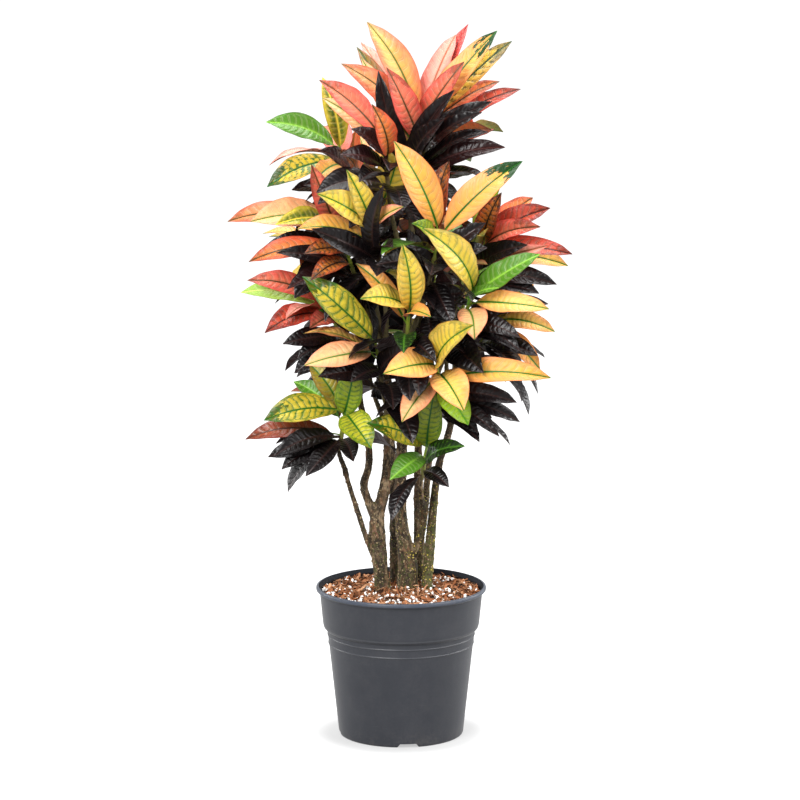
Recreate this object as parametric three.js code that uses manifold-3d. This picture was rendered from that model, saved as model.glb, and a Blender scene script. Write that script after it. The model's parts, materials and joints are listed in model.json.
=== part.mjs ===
// A croton in a round nursery pot, in millimetres. +Z is up, the front faces -Y, and the origin is
// the middle of the pot's underside. Each leafy shoot is one young stretch of stem with bright
// leaves on it, standing end to end on one older stretch with dark leaves, which stands on a twig.
import * as THREE from 'three';
import { mergeVertices } from 'three/addons/utils/BufferGeometryUtils.js';
import Module from 'manifold-3d';

const wasm = await Module();
wasm.setup();

// Pot
const POT_HEIGHT = 240;
const RIM_RADIUS = 135;
const COLLAR_TOP_RADIUS = 129;
const COLLAR_FOOT_RADIUS = 124;
const COLLAR_FOOT = 176;
const NECK_RADIUS = 117.3;
const FOOT_RADIUS = 99;
const WALL = 2.4;
const FLOOR_TOP = 11;
const FLOOR_UNDER = 8.2;
const PAD_RADIUS = 20;
const RIDGES = [148.5, 162];
const RIDGE_PROUD = 0.9;
const POT_SIDES = 28;
const NOTCH = { count: 4, foot: 35, top: 25, height: 6, bearing: -83.5 };
const DRAIN = { count: 6, radius: 6, ring: 60 };

// Potting mix
const SOIL_TOP = 230;
const SOIL_CLEAR = 0.4;
const SOIL_RELIEF = 2.4;

// Wood and shoots
const GAP = 0.3;
const TRUNK_FOOT = 150;
const SHOOT_RADIUS = 3.6;
const SHOOT_TOP_RADIUS = 2.2;
const TWIG_RADIUS = 5;
const STEM_SIDES = 5;
const BUD = 14;
const YOUNG_STEM = 50;
const OLD_STEM = 60;
const LEAN = 0.35;

// Leaf blades
const BLADE_THICK = 1.7;
const PETIOLE_RADIUS = 1.2;
const PETIOLE_SHARE = 0.12;
const ARCH = 0.13;
const FOLD = 0.3;
const WAVE = 2.2;
const PLAIN_FOLD = 0.05;
const PLAIN_WAVE = 0.7;
const CLEAR = 0.5;
const OUTLINE = [[0.4, 0.9], [0.7, 0.92]];
const VIEWER = new THREE.Vector3(0, -0.8, 0.6);
const UP = new THREE.Vector3(0, 0, 1);
const GOLDEN_ANGLE = 137.5;
const MOST_TRIES = 5;

const COLOURS = {
  pot: [0x43464f, 0.5],
  soil: [0x6b3a22, 0.95],
  wood: [0x6e5a41, 0.85],
  old: [0x3a2024, 0.35],
  yellow: [0xe6c44e, 0.42],
  coral: [0xf08a6c, 0.42],
  green: [0x8db53a, 0.42],
};

// Each limb is its points, its start radius and its end radius. The first limb stands in the mix,
// and the others fork from it.
const TRUNKS = {
  trunk_left: [
    [[[-29, -4, TRUNK_FOOT], [-29, -4, 224], [-38, -4, 350], [-30, -5, 380], [-21, -5, 430],
      [-20, -5, 500], [-24, -5, 600], [-42, -2, 690], [-57, 0, 780]], 11.5, 5],
    [[[-37, -4, 335], [-51, -3, 374], [-59, -2, 403], [-51, 0, 432], [-53, 2, 480],
      [-66, 5, 540]], 7, 5],
    [[[-35, -5, 268], [-52, -10, 310], [-74, -18, 380], [-90, -27, 435]], 4.6, 3.8],
  ],
  trunk_middle: [
    [[[10, 8, TRUNK_FOOT], [10, 8, 224], [10, 8, 280], [1, 9, 333], [-1, 9, 395], [1, 6, 456],
      [5, 0, 540], [9, -5, 640], [13, -5, 740], [17, -1, 820]], 12, 5],
    [[[10, 7, 272], [27, 4, 305], [37, -6, 356], [41, -22, 416], [46, -40, 462]], 6.5, 5],
  ],
  trunk_right: [
    [[[40, -2, TRUNK_FOOT], [40, -2, 224], [48, -1, 333], [54, 0, 395], [61, 1, 440],
      [76, 2, 490], [84, 4, 560], [85, 8, 630]], 8, 4.6],
  ],
  trunk_back_left: [
    [[[-8, 42, TRUNK_FOOT], [-8, 42, 224], [-13, 50, 400], [-20, 60, 520], [-30, 64, 640],
      [-36, 68, 740]], 8.5, 4.6],
  ],
  trunk_back_right: [
    [[[30, 44, TRUNK_FOOT], [30, 44, 224], [27, 50, 400], [28, 56, 520], [30, 58, 640],
      [31, 60, 740]], 8.5, 4.6],
  ],
};

// Each leaf is [x, y, z of its tip from the shoot's tip, width, kind, turn about its own chord].
const SHOOTS = [
  { name: 'crown', tip: [30, 0, 980], stems: [66, 62], on: ['trunk_middle', 0, 790], fill: [1, 6],
    young: [[-80, -30, 154, 50, 'salmonYellow'], [118, -20, 140, 42, 'paleTip'],
      [142, 28, 120, 36, 'speckled'], [66, -62, 96, 40, 'coral'], [61, 18, 130, 42, 'pink'],
      [80, 45, 145, 26, 'red'], [96, 8, 88, 40, 'orange'], [-120, -45, 92, 46, 'salmon'],
      [-50, -84, 88, 44, 'coral'], [-98, 28, 112, 30, 'olive'], [-84, 48, 126, 36, 'pink'],
      [-90, 8, 96, 32, 'peach'], [156, 20, 46, 34, 'coralDark']],
    old: [[109, -70, 36, 40, 'dark'], [92, -95, 22, 38, 'dark'], [50, -95, 56, 36, 'dark'],
      [28, -118, 4, 40, 'dark'], [-41, -74, 80, 36, 'dark'], [129, -45, -36, 42, 'maroon'],
      [84, -84, -10, 34, 'dark'], [22, -78, -86, 34, 'maroon']] },
  { name: 'upper_front', tip: [-28, -60, 962], on: ['trunk_middle', 0, 700], fill: [0, 6],
    young: [[-95, -40, 90, 44, 'coral'], [-92, -8, 60, 32, 'peach'], [-14, -80, 55, 38, 'orange']],
    old: [[-44, -88, 10, 38, 'maroon'], [-64, -78, -20, 38, 'maroon'], [10, -98, -12, 36, 'dark'],
      [-26, -92, -50, 38, 'dark']] },
  { name: 'upper_left', tip: [-99, 0, 942], on: ['trunk_left', 0, 760], fill: [1, 6],
    young: [[-109, -50, 40, 44, 'green'], [-22, -40, 108, 36, 'greenYellow'],
      [-106, -20, -30, 32, 'pink', 50], [-108, -50, -60, 42, 'blotched'],
      [-36, -76, -52, 34, 'yellow']],
    old: [[-25, -92, 2, 38, 'maroon'], [-40, -80, -54, 36, 'dark'], [6, -88, 2, 32, 'orangeBrown'],
      [22, -60, -88, 34, 'coral']] },
  { name: 'mid_front', tip: [-42, -90, 826], on: ['trunk_left', 0, 600], fill: [1, 6],
    young: [[-84, -60, 58, 50, 'oliveYellow'], [-40, -44, 92, 38, 'oliveYellow'],
      [43, -85, 42, 34, 'pinkYellow']],
    old: [[-22, -74, 70, 34, 'dark'], [-73, -80, 4, 38, 'dark'], [30, -90, -20, 36, 'dark']] },
  { name: 'mid_right', tip: [61, -100, 820], on: ['trunk_middle', 0, 600], fill: [1, 6],
    young: [[-70, -30, 141, 56, 'orangeYellow'], [121, -30, 112, 52, 'paleTip'],
      [16, 20, 105, 42, 'orangeBrown'], [-45, -62, 20, 32, 'yellowGreen']],
    old: [[58, -30, 24, 36, 'dark'], [70, -24, -22, 36, 'dark']] },
  { name: 'right_front', tip: [114, -80, 724], on: ['trunk_right', 0, 530], fill: [0, 6],
    young: [[-95, -104, 113, 54, 'yellow'], [97, -60, 66, 44, 'green'],
      [112, -55, -19, 40, 'orangeYellow'], [-2, -72, -63, 48, 'peach'], [30, -56, 25, 26, 'green']],
    old: [[113, 0, -19, 34, 'dark'], [68, -44, -64, 34, 'dark'], [60, -60, -84, 34, 'dark']] },
  { name: 'right_back', tip: [134, 20, 789], on: ['trunk_right', 0, 610], fill: [1, 6],
    young: [[20, -64, 82, 38, 'orangeBrown'], [72, 12, 66, 40, 'orange'], [95, -50, 58, 48, 'coral'],
      [78, -84, 34, 42, 'coral'], [132, -60, -14, 38, 'coral'], [127, -20, -38, 38, 'orangeYellow'],
      [92, -92, 4, 30, 'pink', 45], [54, 34, 90, 34, 'yellowGreen']],
    old: [[70, -98, -4, 40, 'dark'], [108, -44, -62, 38, 'dark']] },
  { name: 'front', tip: [12, -125, 710], on: ['trunk_middle', 0, 500], fill: [0, 6],
    young: [[-73, -70, 20, 44, 'oliveYellow'], [-17, -58, 94, 46, 'oliveYellow'],
      [32, -86, -4, 34, 'yellow'], [-81, 14, 62, 32, 'yellow']],
    old: [[-8, -66, -62, 38, 'darkGreen'], [40, -60, -76, 36, 'dark']] },
  { name: 'left_front', tip: [-40, -90, 650], on: ['trunk_left', 0, 440], fill: [1, 6],
    young: [[-109, -40, 104, 54, 'striped'], [-107, -65, -28, 46, 'peach']],
    old: [[-37, -85, -52, 38, 'dark'], [-87, -62, -48, 42, 'dark'], [36, -84, -20, 36, 'dark']] },
  { name: 'low_front', tip: [57, -120, 620], lean: [0.05, -0.42], on: ['trunk_middle', 1, 452],
    fill: [0, 5],
    young: [[-92, -75, -2, 56, 'orangeYellow'], [48, -92, 72, 64, 'oliveYellow'],
      [38, -92, -60, 60, 'orangeYellow'], [-56, -66, -82, 46, 'peach'], [172, -40, -18, 46, 'yellow'],
      [46, -36, -92, 46, 'lime']],
    old: [[121, -5, -62, 36, 'dark'], [127, 14, -96, 32, 'dark'], [98, -32, -96, 32, 'dark'],
      [84, 24, -92, 32, 'dark'], [62, -14, -108, 32, 'dark']] },
  { name: 'low_left', tip: [-86, -50, 537], lean: [0.15, -0.2], stems: [40, 34],
    on: ['trunk_left', 2, 422], fill: [1, 6],
    young: [[-126, -50, -12, 52, 'striped'], [40, -82, -50, 54, 'stripedRound'],
      [-57, 12, 66, 38, 'lime'], [16, -28, 75, 46, 'yellowGreen'], [-82, 24, 36, 34, 'green']],
    old: [[-37, -12, 60, 32, 'dark'], [-157, -10, -48, 36, 'redOrange'], [-111, -56, -68, 36, 'dark'],
      [-122, -12, -78, 34, 'dark'], [-62, -54, -100, 34, 'dark'], [12, -56, -76, 34, 'dark']] },
  { name: 'low_middle', tip: [41, -60, 484], lean: [0.14, -0.2], stems: [36, 30],
    on: ['trunk_middle', 1, 345], fill: [0, 1],
    young: [[-91, -66, 42, 50, 'striped'], [7, -58, 82, 44, 'yellowGreen'],
      [-58, -76, -46, 40, 'green']],
    old: [[56, -80, 8, 36, 'darkGreen'], [33, -42, -64, 28, 'dark']] },
  { name: 'left_upper_mid', tip: [-112, -20, 840], on: ['trunk_left', 0, 660], fill: [1, 6],
    young: [[-159, 10, -16, 38, 'salmon'], [-118, -62, -6, 56, 'peach'],
      [-78, -92, -6, 38, 'greenYellow'], [-40, -50, 80, 38, 'coral']],
    old: [[-38, -98, -26, 36, 'dark'], [-100, -40, -50, 36, 'dark']] },
  { name: 'left_mid', tip: [-88, -66, 796], on: ['trunk_left', 0, 590], fill: [0, 6],
    young: [[-146, -30, -22, 38, 'orange'], [-60, -90, -4, 34, 'orangeBrown'],
      [-50, -94, -44, 34, 'orangeBrown']],
    old: [[-103, -60, -6, 32, 'dark'], [-70, -80, -38, 38, 'maroon']] },
  { name: 'left_lower', tip: [-119, 10, 696], on: ['trunk_left', 1, 530], fill: [0, 5],
    young: [[-119, -40, 38, 40, 'coral'], [-132, -6, 14, 36, 'lightGreen'],
      [-60, -80, -16, 28, 'pink', 45], [-86, -78, -28, 44, 'coralDark'], [-22, -94, -30, 38, 'coral'],
      [-40, -40, 84, 38, 'orange']],
    old: [[-30, -92, 0, 38, 'darkGreen'], [-65, -58, -60, 36, 'dark'], [-38, -64, -74, 34, 'dark'],
      [-48, -36, -110, 36, 'dark']] },
  { name: 'right_lower', tip: [150, -10, 675], lean: [0.55, 0], stems: [45, 40],
    on: ['trunk_right', 0, 500], fill: [0, 6],
    young: [[88, -62, -16, 36, 'orangeYellow'], [66, -50, -78, 36, 'yellow'],
      [30, -80, 40, 38, 'oliveYellow']],
    old: [[60, -78, -50, 36, 'dark'], [20, -92, -30, 36, 'dark']] },
  { name: 'heart_upper', tip: [-50, 14, 850], on: ['trunk_middle', 0, 690], fill: [4, 11],
    young: [], old: [[34, -34, -46, 38, 'dark'], [-24, -40, -60, 38, 'dark']] },
  { name: 'heart_lower', tip: [-50, 16, 722], on: ['trunk_left', 0, 540], fill: [4, 10],
    young: [], old: [[62, -30, 44, 40, 'dark'], [-28, -24, 34, 40, 'dark'], [20, -40, 66, 40, 'dark'],
      [2, -40, -94, 40, 'dark']] },
  { name: 'heart_right', tip: [56, 6, 752], on: ['trunk_middle', 0, 570], fill: [4, 9],
    young: [], old: [[-44, -20, 58, 38, 'dark'], [40, -30, -40, 38, 'dark'], [-12, -40, -80, 38, 'dark']] },
  { name: 'back_upper_left', tip: [-60, 110, 900], on: ['trunk_back_left', 0, 720], fill: [8, 7],
    young: [], old: [] },
  { name: 'back_upper_right', tip: [50, 100, 920], on: ['trunk_back_right', 0, 720], fill: [8, 7],
    young: [], old: [] },
  { name: 'back_left', tip: [-120, 90, 770], on: ['trunk_back_left', 0, 560], fill: [8, 7],
    young: [], old: [] },
  { name: 'back', tip: [10, 150, 780], on: ['trunk_back_right', 0, 560], fill: [8, 7],
    young: [], old: [] },
  { name: 'back_right', tip: [110, 110, 700], on: ['trunk_back_right', 0, 470], fill: [8, 7],
    young: [], old: [] },
  { name: 'back_lower_left', tip: [-70, 120, 640], on: ['trunk_back_left', 0, 450], fill: [8, 7],
    young: [], old: [] },
  { name: 'back_lower', tip: [40, 140, 610], on: ['trunk_back_right', 0, 410], fill: [8, 7],
    young: [], old: [] },
];
const FILL_KINDS = ['oliveYellow', 'coral', 'striped', 'orangeYellow', 'green', 'peach', 'yellow'];

// Park and Miller's generator, so that a draw is the same on every machine
function drawer(seed) {
  let state = seed;
  return (low, high) => {
    state = (state * 16807) % 2147483647;
    return low + (high - low) * (state / 2147483647);
  };
}

const vector = (p) => new THREE.Vector3(...p);
const radians = THREE.MathUtils.degToRad;

// A closed skin over rings of points, each ring open or drawn together in one point
function loft(rings) {
  const points = rings.flat();
  const starts = rings.map((ring, i) => rings.slice(0, i).flat().length);
  const index = [];
  for (let r = 0; r + 1 < rings.length; r++) {
    const n = rings[r].length;
    for (let i = 0; i < n; i++) {
      const j = (i + 1) % n;
      const [a, b] = [starts[r] + i, starts[r] + j];
      if (rings[r + 1].length === 1) {
        index.push(a, b, starts[r + 1]);
        continue;
      }
      const [c, d] = [starts[r + 1] + i, starts[r + 1] + j];
      index.push(...(i < n / 2 ? [a, b, d, a, d, c] : [a, b, c, b, d, c]));
    }
  }
  for (const [r, turn] of [[0, true], [rings.length - 1, false]]) {
    for (let i = 1; i + 1 < rings[r].length; i++) {
      const [a, b, c] = [starts[r], starts[r] + i, starts[r] + i + 1];
      index.push(...(turn ? [a, c, b] : [a, b, c]));
    }
  }
  return new THREE.BufferGeometry().setFromPoints(points).setIndex(index);
}

function signedVolume(geometry) {
  const at = (i) => new THREE.Vector3().fromBufferAttribute(geometry.attributes.position, i);
  const index = geometry.index.array;
  let sum = 0;
  for (let i = 0; i < index.length; i += 3) {
    sum += at(index[i]).dot(at(index[i + 1]).cross(at(index[i + 2])));
  }
  return sum / 6;
}

// A solid whose faces point out, from any closed geometry
function solidOf(geometry) {
  const bare = new THREE.BufferGeometry();
  bare.setAttribute('position', geometry.attributes.position);
  bare.setIndex(geometry.index);
  const merged = mergeVertices(bare, 1e-3);
  const triVerts = new Uint32Array(merged.index.array);
  if (signedVolume(merged) < 0) triVerts.reverse();
  const vertProperties = new Float32Array(merged.attributes.position.array);
  return new wasm.Manifold(new wasm.Mesh({ numProp: 3, vertProperties, triVerts }));
}

// The largest closed body of a solid, which leaves out loose scraps and sealed hollows
function mainBody(solid) {
  return solid.decompose().reduce((a, b) => (b.volume() > a.volume() ? b : a));
}

const plant = new THREE.Group();

function addNode(name, solid, [color, roughness]) {
  const mesh = solid.getMesh();
  const geometry = new THREE.BufferGeometry();
  geometry.setAttribute('position', new THREE.BufferAttribute(mesh.vertProperties, 3));
  geometry.setIndex(new THREE.BufferAttribute(mesh.triVerts, 1));
  geometry.computeVertexNormals();
  const made = new THREE.Mesh(geometry, new THREE.MeshStandardMaterial({ color, roughness }));
  made.name = name;
  plant.add(made);
}

// The inside of the pot's wall, from the floor up
const innerWall = [
  [FOOT_RADIUS - WALL - 1, FLOOR_TOP], [FOOT_RADIUS - WALL, FLOOR_TOP + 4],
  [NECK_RADIUS - WALL, COLLAR_FOOT - 4], [COLLAR_FOOT_RADIUS - WALL, COLLAR_FOOT + 4],
  [COLLAR_TOP_RADIUS - WALL, POT_HEIGHT - 7],
];

// The pot's radius outside, between the foot and the step under the collar
function bodyRadius(z) {
  return THREE.MathUtils.mapLinear(z, 4, COLLAR_FOOT - 6, FOOT_RADIUS + 0.5, NECK_RADIUS);
}

function lathe(profile) {
  const points = profile.map(([r, z]) => new THREE.Vector2(r, z));
  return solidOf(new THREE.LatheGeometry(points, POT_SIDES).rotateX(Math.PI / 2));
}

function makePot() {
  const ridges = RIDGES.flatMap((z) => [
    [bodyRadius(z - 2), z - 2], [bodyRadius(z) + RIDGE_PROUD, z], [bodyRadius(z + 2), z + 2],
  ]);
  let pot = lathe([
    [0, 0], [PAD_RADIUS, 0], [PAD_RADIUS + 2, FLOOR_UNDER], [FOOT_RADIUS - 7, FLOOR_UNDER],
    [FOOT_RADIUS - 6, 0], [FOOT_RADIUS - 2, 0], [FOOT_RADIUS, 2.5], ...ridges,
    [NECK_RADIUS, COLLAR_FOOT - 6], [NECK_RADIUS + 5, COLLAR_FOOT - 3],
    [COLLAR_FOOT_RADIUS, COLLAR_FOOT + 3], [COLLAR_TOP_RADIUS, POT_HEIGHT - 9],
    [RIM_RADIUS, POT_HEIGHT - 6], [RIM_RADIUS - 0.8, POT_HEIGHT - 1], [RIM_RADIUS - 5, POT_HEIGHT],
    ...innerWall.toReversed(), [0, FLOOR_TOP],
  ]);
  for (let i = 0; i < NOTCH.count; i++) {
    const outline = [
      [-NOTCH.foot, -1], [NOTCH.foot, -1], [NOTCH.foot, 0], [NOTCH.top, NOTCH.height],
      [-NOTCH.top, NOTCH.height], [-NOTCH.foot, 0],
    ].map(([x, y]) => new THREE.Vector2(x / 2, y));
    const settings = { depth: 24, bevelEnabled: false };
    const cutter = new THREE.ExtrudeGeometry(new THREE.Shape(outline), settings);
    cutter.translate(0, 0, FOOT_RADIUS - 12).rotateX(Math.PI / 2).rotateZ(Math.PI / 2);
    cutter.rotateZ(radians(NOTCH.bearing + (i * 360) / NOTCH.count));
    pot = pot.subtract(solidOf(cutter));
  }
  for (let i = 0; i < DRAIN.count; i++) {
    const cutter = new THREE.CylinderGeometry(DRAIN.radius, DRAIN.radius, 20, 8);
    cutter.rotateX(Math.PI / 2).translate(DRAIN.ring, 0, FLOOR_TOP);
    cutter.rotateZ(radians(((i + 0.5) * 360) / DRAIN.count));
    pot = pot.subtract(solidOf(cutter));
  }
  return pot;
}

// The mix's surface is lumpy and stands a little higher round the trunks
function soilHeight(x, y) {
  const lumps = Math.sin(x / 5 + 2 * Math.sin(y / 13)) * Math.cos(y / 6 + Math.sin(x / 11));
  return SOIL_TOP + SOIL_RELIEF * lumps + 3 * (1 - Math.hypot(x, y) / COLLAR_TOP_RADIUS);
}

function makeSoil(holes) {
  const wall = innerWall.slice(0, 4).map(([r, z]) => [r - SOIL_CLEAR, z]);
  wall[0][1] += GAP;
  const edge = THREE.MathUtils.mapLinear(SOIL_TOP, ...innerWall.slice(3).flatMap(([, z]) => z),
    ...innerWall.slice(3).map(([r]) => r - SOIL_CLEAR));
  const top = [edge, 104, 78, 52, 26, 0].map((r) => [r, SOIL_TOP]);
  const points = [[0, wall[0][1]], ...wall, ...top].map(([r, z]) => new THREE.Vector2(r, z));
  const body = new THREE.LatheGeometry(points, POT_SIDES).rotateX(Math.PI / 2);
  const place = body.attributes.position;
  for (let i = 0; i < place.count; i++) {
    const [x, y] = [place.getX(i), place.getY(i)];
    const inside = Math.hypot(x, y) < edge - 1;
    if (place.getZ(i) > SOIL_TOP - 1 && inside) place.setZ(i, soilHeight(x, y));
  }
  return mainBody(holes.reduce((left, hole) => left.subtract(hole), solidOf(body)));
}

// A round limb that tapers along a curve through its points
function limb(points, startRadius, endRadius, steps, sides) {
  const curve = new THREE.CatmullRomCurve3(points.map(vector), false, 'centripetal');
  const frames = curve.computeFrenetFrames(steps, false);
  const rings = frames.normals.map((normal, s) => {
    const radius = THREE.MathUtils.lerp(startRadius, endRadius, s / steps);
    const middle = curve.getPointAt(s / steps);
    return Array.from({ length: sides }, (unused, i) => {
      const angle = (2 * Math.PI * i) / sides;
      return middle.clone()
        .addScaledVector(normal, radius * Math.cos(angle))
        .addScaledVector(frames.binormals[s], radius * Math.sin(angle));
    });
  });
  return solidOf(loft(rings));
}

// Where a limb passes a height
function pointAtHeight(points, z) {
  const curve = new THREE.CatmullRomCurve3(points.map(vector), false, 'centripetal');
  const steps = Array.from({ length: 201 }, (unused, i) => curve.getPointAt(i / 200));
  return steps.reduce((a, b) => (Math.abs(b.z - z) < Math.abs(a.z - z) ? b : a));
}

// A shoot's line, and the places on it that the stretches of stem run between
function shootLine(shoot) {
  const tip = vector(shoot.tip);
  const lean = shoot.lean ?? [(LEAN * tip.x) / 100, (LEAN * tip.y) / 100];
  const direction = new THREE.Vector3(lean[0], lean[1], 1).normalize();
  const [young, old] = shoot.stems ?? [YOUNG_STEM, OLD_STEM];
  const below = (distance) => tip.clone().addScaledVector(direction, -distance);
  return { tip, direction, young, old, below };
}

function makeTwig(shoot) {
  const [trunk, number, height] = shoot.on;
  const line = shootLine(shoot);
  const start = pointAtHeight(TRUNKS[trunk][number][0], height);
  const end = line.below(line.young + line.old + 3 * GAP);
  const reach = start.distanceTo(end);
  const points = [start, start.clone().addScaledVector(UP, 0.3 * reach),
    end.clone().addScaledVector(line.direction, -0.3 * reach), end];
  const curve = new THREE.CubicBezierCurve3(...points);
  const along = [0, 0.34, 0.67, 0.94, 1].map((t) => curve.getPoint(t).toArray());
  return limb(along, TWIG_RADIUS, SHOOT_RADIUS, 3, 4);
}

function makeTrunk(name) {
  const limbs = TRUNKS[name].map(([points, start, end], i) =>
    limb(points, start, end, i ? 5 : 9, i ? 5 : 7));
  const twigs = SHOOTS.filter((shoot) => shoot.on[0] === name).map(makeTwig);
  return mainBody([...limbs, ...twigs].reduce((all, next) => all.add(next)));
}

function trunkHole(name) {
  const [points, start, end] = TRUNKS[name][0];
  const longer = [[points[0][0], points[0][1], points[0][2] - SOIL_CLEAR], ...points.slice(1)];
  return limb(longer, start + SOIL_CLEAR, end + SOIL_CLEAR, 9, 7);
}

// A stretch of stem, which ends above in a bud where it is the young one
function makeStem(line, from, to, pointed) {
  const across = new THREE.Vector3().crossVectors(line.direction, VIEWER).normalize();
  const around = Array.from({ length: STEM_SIDES }, (unused, i) =>
    across.clone().applyAxisAngle(line.direction, (2 * Math.PI * i) / STEM_SIDES));
  const ring = (distance, radius) => around.map((way) =>
    line.below(distance).addScaledVector(way, radius));
  const bud = [ring(from, SHOOT_TOP_RADIUS), [line.below(from - BUD)]];
  const top = pointed ? bud : [ring(from, SHOOT_RADIUS)];
  return solidOf(loft([ring(to, SHOOT_RADIUS), ...top]));
}

// A leaf's chord as length, bearing and rise, with its width, turn and the way that its face looks
function leafFromTip(base, shootTip, [x, y, z, width, kind, turn = 0]) {
  const chord = shootTip.clone().add(new THREE.Vector3(x, y, z)).sub(base);
  const length = chord.length();
  const bearing = THREE.MathUtils.radToDeg(Math.atan2(chord.y, chord.x));
  const rise = THREE.MathUtils.radToDeg(Math.asin(chord.z / length));
  return { base, length, bearing, rise, width, turn, kind, face: VIEWER };
}

// A leaf that the photograph doesn't show, laid out by the golden angle
function leafByRule(base, shoot, number, young, draw) {
  const outward = THREE.MathUtils.radToDeg(Math.atan2(shoot.tip[1], shoot.tip[0]));
  const shown = shoot.young.length > 0;
  const spread = shown ? draw(-75, 75) : number * GOLDEN_ANGLE;
  const bearing = (shown ? outward : 20 * shoot.tip[2]) + spread;
  const rise = young ? draw(10, 62) : draw(-42, 12);
  const length = young ? draw(112, 158) : draw(92, 132);
  const width = length * draw(0.35, 0.43);
  const kind = young ? FILL_KINDS[Math.floor(draw(0, FILL_KINDS.length))] : 'dark';
  const away = radians(bearing);
  const face = new THREE.Vector3(0.5 * Math.cos(away), 0.5 * Math.sin(away), 0.9);
  return { base, length, bearing, rise, width, turn: draw(-25, 25), kind, face, plain: true };
}

// The rings of a folded, arched and waved blade on its petiole, larger all round by extra
function bladeRings(leaf, extra) {
  const [bearing, rise] = [radians(leaf.bearing), radians(leaf.rise)];
  const chord = new THREE.Vector3(
    Math.cos(rise) * Math.cos(bearing), Math.cos(rise) * Math.sin(bearing), Math.sin(rise));
  const side = new THREE.Vector3().crossVectors(chord, leaf.face).normalize();
  side.applyAxisAngle(chord, radians(leaf.turn));
  const normal = new THREE.Vector3().crossVectors(side, chord);
  const tip = leaf.base.clone().addScaledVector(chord, leaf.length);
  const bend = leaf.base.clone().lerp(tip, 0.5).addScaledVector(normal, 2 * ARCH * leaf.length);
  const spine = new THREE.QuadraticBezierCurve3(leaf.base, bend, tip);
  const ring = (t, half, thick, fold, wave) => {
    const middle = spine.getPoint(t);
    const up = new THREE.Vector3().crossVectors(side, spine.getTangent(t)).normalize();
    const wide = (half + extra) * Math.cos(fold);
    const lift = (half + extra) * Math.sin(fold);
    const left = middle.clone().addScaledVector(side, -wide).addScaledVector(up, lift + wave);
    const top = middle.clone().addScaledVector(up, thick / 2 + extra);
    const right = middle.clone().addScaledVector(side, wide).addScaledVector(up, lift - wave);
    const under = middle.clone().addScaledVector(up, -thick / 2 - extra);
    return leaf.plain ? [left, right, under] : [left, top, right, under];
  };
  const rings = [0, PETIOLE_SHARE].map((t) => ring(t, PETIOLE_RADIUS, 2 * PETIOLE_RADIUS, 0, 0));
  const [fold, sway] = leaf.plain ? [PLAIN_FOLD, PLAIN_WAVE] : [FOLD, WAVE];
  for (const [i, [share, wide]] of OUTLINE.entries()) {
    rings.push(ring(share, (wide * leaf.width) / 2, BLADE_THICK, fold, i % 2 ? -sway : sway));
  }
  rings.push([spine.getPoint(1).addScaledVector(spine.getTangent(1), extra)]);
  return rings;
}

function boxOf(rings) {
  return new THREE.Box3().setFromPoints(rings.flat());
}

// Other ways to lay a leaf, each further from the way that it would rather lie
function* waysToLay(leaf) {
  yield leaf;
  for (const scale of [1, 0.86]) {
    for (let ring = 1; ring <= MOST_TRIES; ring++) {
      for (let i = 0; i < 8; i++) {
        const angle = (i * Math.PI) / 4;
        yield {
          ...leaf,
          bearing: leaf.bearing + 7 * ring * Math.cos(angle),
          rise: leaf.rise + 7 * ring * Math.sin(angle),
          turn: leaf.turn + (i % 2 ? 9 : -9) * ring,
          length: leaf.length * scale,
        };
      }
    }
  }
}

const placed = [];

function place(owner, solid, box) {
  placed.push({ owner, solid, box });
}

function isClear(envelope, box, others) {
  const near = others.filter((other) => other.box.intersectsBox(box));
  return near.every((other) => {
    const shared = envelope.intersect(other.solid);
    const empty = shared.isEmpty();
    shared.delete();
    return empty;
  });
}

// Whether a leaf is clear of the other nodes, and its wide part of its own node too where told to be
function fits(owner, way, apart) {
  const rings = bladeRings(way, CLEAR);
  const whole = solidOf(loft(rings));
  const others = placed.filter((other) => other.owner !== owner);
  const clear = isClear(whole, boxOf(rings), others);
  whole.delete();
  if (!clear || !apart) return clear;
  const wide = solidOf(loft(rings.slice(1)));
  const own = placed.filter((other) => other.owner === owner);
  const free = isClear(wide, boxOf(rings.slice(1)), own);
  wide.delete();
  return free;
}

// Lays a leaf in the first way that fits, or leaves it out where none does
function layLeaf(owner, leaf, shown) {
  const ways = [...waysToLay(leaf)];
  const way = ways.find((each) => fits(owner, each, true))
    ?? (shown ? ways.find((each) => fits(owner, each, false)) : null);
  if (!way) return null;
  const rings = bladeRings(way, 0);
  const blade = solidOf(loft(rings));
  place(owner, blade, boxOf(bladeRings(way, CLEAR)));
  return blade;
}

const stems = new Map();
const blades = new Map();

for (const name of Object.keys(TRUNKS)) {
  const trunk = makeTrunk(name);
  const { min, max } = trunk.boundingBox();
  place(name, trunk, new THREE.Box3(vector(min), vector(max)));
  addNode(name, trunk, COLOURS.wood);
}

for (const shoot of SHOOTS) {
  const line = shootLine(shoot);
  const stretches = { young: [0, line.young], old: [line.young + GAP, line.young + line.old + GAP] };
  for (const [age, [from, to]] of Object.entries(stretches)) {
    const stem = makeStem(line, from, to, age === 'young');
    const { min, max } = stem.boundingBox();
    const owner = `${shoot.name}_${age}`;
    place(owner, stem, new THREE.Box3(vector(min), vector(max)));
    stems.set(owner, stem);
    blades.set(owner, []);
  }
}

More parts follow.
